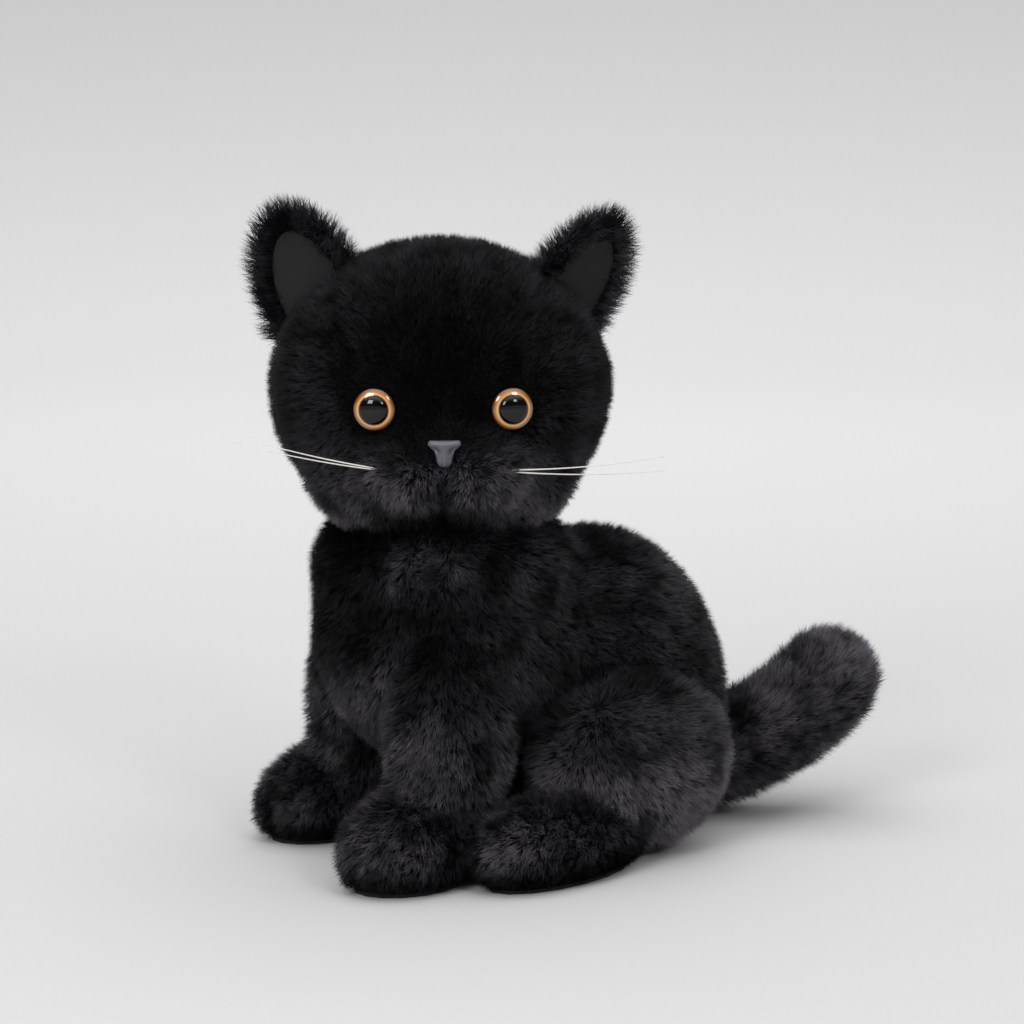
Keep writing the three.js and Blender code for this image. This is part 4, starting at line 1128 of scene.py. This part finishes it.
def grow_pile(name, skin, keep, body, seed, settings):
    """Grows one panel's pile on the faces of a skin for which keep holds."""
    patch_form = bmesh.new()
    patch_form.from_mesh(skin.data)
    patch_form.faces.ensure_lookup_table()
    gone = [patch_form.faces[i] for i in np.flatnonzero(~keep)]
    bmesh.ops.delete(patch_form, geom=gone, context="FACES")
    patch_mesh = bpy.data.meshes.new(name)
    patch_form.to_mesh(patch_mesh)
    patch_form.free()
    patch = link_object(f"{name}_patch", patch_mesh)
    grower = patch.modifiers.new("pile", "NODES")
    grower.node_group = pile_group
    for item in pile_group.interface.items_tree:
        if item.in_out == "INPUT" and item.name in settings:
            grower[item.identifier] = settings[item.name]
        elif item.in_out == "INPUT" and item.name == "Seed":
            grower[item.identifier] = seed
    graph = bpy.context.evaluated_depsgraph_get()
    grown = bpy.data.meshes.new_from_object(patch.evaluated_get(graph))
    bpy.data.objects.remove(patch)
    fur = link_object(name, grown)
    points = vertices_of(fur)
    points[:, 2] = np.maximum(points[:, 2], 0.2)
    move_vertices(fur, points)
    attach(fur, body)


pile_group = pile_tree()
pile_settings = {"Density": STRANDS_PER_MM2 * 1e6, "Fibre width": FIBRE_WIDTH * MM, "Stray": 0.34,
                 "Brush size": BRUSH_SIZE * MM, "Brush strokes": 0.5, "Tuft size": TUFT_SIZE * MM,
                 "Tuft pull": 0.5, "Bend": 0.3, "Material": pile_look}
solids = {}
for made in skins:
    mesh = made["skin"].data
    solids[made["skin"].name] = BVHTree.FromPolygons(
        [v.co[:] for v in mesh.vertices], [tuple(f.vertices) for f in mesh.polygons])


def buried(point, own, depth=1.0 * MM):
    """True where a point lies inside another stuffed piece, so no pile shows there."""
    for other, tree in solids.items():
        if other == own or "ear" in other:
            continue
        near_point, normal, _, distance = tree.find_nearest(point, 0.03)
        if near_point is not None and (point - near_point).dot(normal) < -depth:
            return True
    return False


for seed, made in enumerate(skins):
    mesh = made["skin"].data
    centres = np.array([f.center for f in mesh.polygons]) / MM
    hidden = np.array([buried(f.center, made["skin"].name) for f in mesh.polygons])
    for name, chosen in made["panels"].items():
        grow_pile(name, made["skin"], chosen(centres) & ~hidden, made["body"], seed + 11, pile_settings)

# ---------- studio ----------
# A pale seamless floor that curves up to a pale wall all round. Two soft lights stand in front of
# and beside the cat, a weak one hangs above it, a strong one is on the backdrop behind it, and the
# sky fills in from the open top.
camera_data = bpy.data.cameras.new("camera")
camera_data.lens = 85
camera_data.sensor_width = 36
camera = link_object("camera", camera_data)
azimuth, elevation, distance = math.radians(62), math.radians(8.2), 968 * MM
target = Vector((-17.91, -24.48, 128.07)) * MM
back_away = Vector((math.sin(azimuth) * math.cos(elevation), -math.cos(azimuth) * math.cos(elevation),
                    math.sin(elevation)))
camera.location = target + back_away * distance
camera.rotation_euler = (-back_away).to_track_quat("-Z", "Y").to_euler()
bpy.context.scene.camera = camera

profile = [(0, 0), (0.6, 0), (1.2, 0), (2.2, 0)]
profile += [(2.2 + 1.3 * math.sin(a), 1.3 - 1.3 * math.cos(a)) for a in np.linspace(0.1, 1.0, 14)]
sweep = bmesh.new()
SWEEP_STEPS = 64
turns = np.linspace(0, 2 * math.pi, SWEEP_STEPS, endpoint=False)
rings = [[sweep.verts.new((r * math.cos(t), r * math.sin(t), h)) for t in turns] for r, h in profile[1:]]
sweep.faces.new(rings[0])
for a, b in zip(rings, rings[1:]):
    for k in range(SWEEP_STEPS):
        sweep.faces.new((a[k], a[(k + 1) % SWEEP_STEPS], b[(k + 1) % SWEEP_STEPS], b[k]))
bmesh.ops.recalc_face_normals(sweep, faces=sweep.faces)
for part in sweep.faces:
    part.smooth = True
floor = object_from(sweep, "studio_sweep")
paper, tree, shader = new_material("seamless paper")
coords = add_node(tree, "ShaderNodeTexCoord")
grain = add_node(tree, "ShaderNodeTexNoise", {"Vector": coords.outputs["Object"], "Scale": 300.0})
tint = add_node(tree, "ShaderNodeMix", {
    "Factor": grain.outputs["Fac"], COLOUR_A: linear("#bdbdbd"), COLOUR_B: linear("#c1c1c1")},
    data_type="RGBA")
tree.links.new(tint.outputs[2], shader.inputs["Base Color"])
shader.inputs["Roughness"].default_value = 0.9
floor.data.materials.append(paper)

for name, place, aim, size, power in (
        ("key_left", (0.68, -1.18, 0.85), target, 0.5, 9.5),
        ("key_right", (1.45, 0.05, 1.0), target, 0.36, 5.2),
        ("overhead", (0.0, -0.1, 1.9), target, 1.6, 1.0),
        ("backdrop_light", (-0.9, 0.5, 1.9), Vector((-3.0, 1.6, 0.2)), 1.2, 21.0)):
    lamp_data = bpy.data.lights.new(name, "AREA")
    lamp_data.shape = "SQUARE"
    lamp_data.size = size
    lamp_data.energy = power
    lamp = link_object(name, lamp_data)
    lamp.location = place
    lamp.rotation_euler = (aim - Vector(place)).to_track_quat("-Z", "Y").to_euler()
world = bpy.data.worlds.new("studio_air")
world.use_nodes = True
sky = world.node_tree
view_up = add_node(sky, "ShaderNodeTexCoord")
height = add_node(sky, "ShaderNodeSeparateXYZ", {0: view_up.outputs["Generated"]})
ceiling = add_node(sky, "ShaderNodeMapRange", {
    0: height.outputs["Z"], 1: 0.5, 2: 0.92, 3: 0.08, 4: 2.15})
sky.links.new(ceiling.outputs[0], sky.nodes["Background"].inputs["Strength"])
sky.nodes["Background"].inputs["Color"].default_value = (0.985, 0.988, 0.99, 1)
bpy.context.scene.world = world
bpy.context.scene.view_settings.view_transform = "Standard"
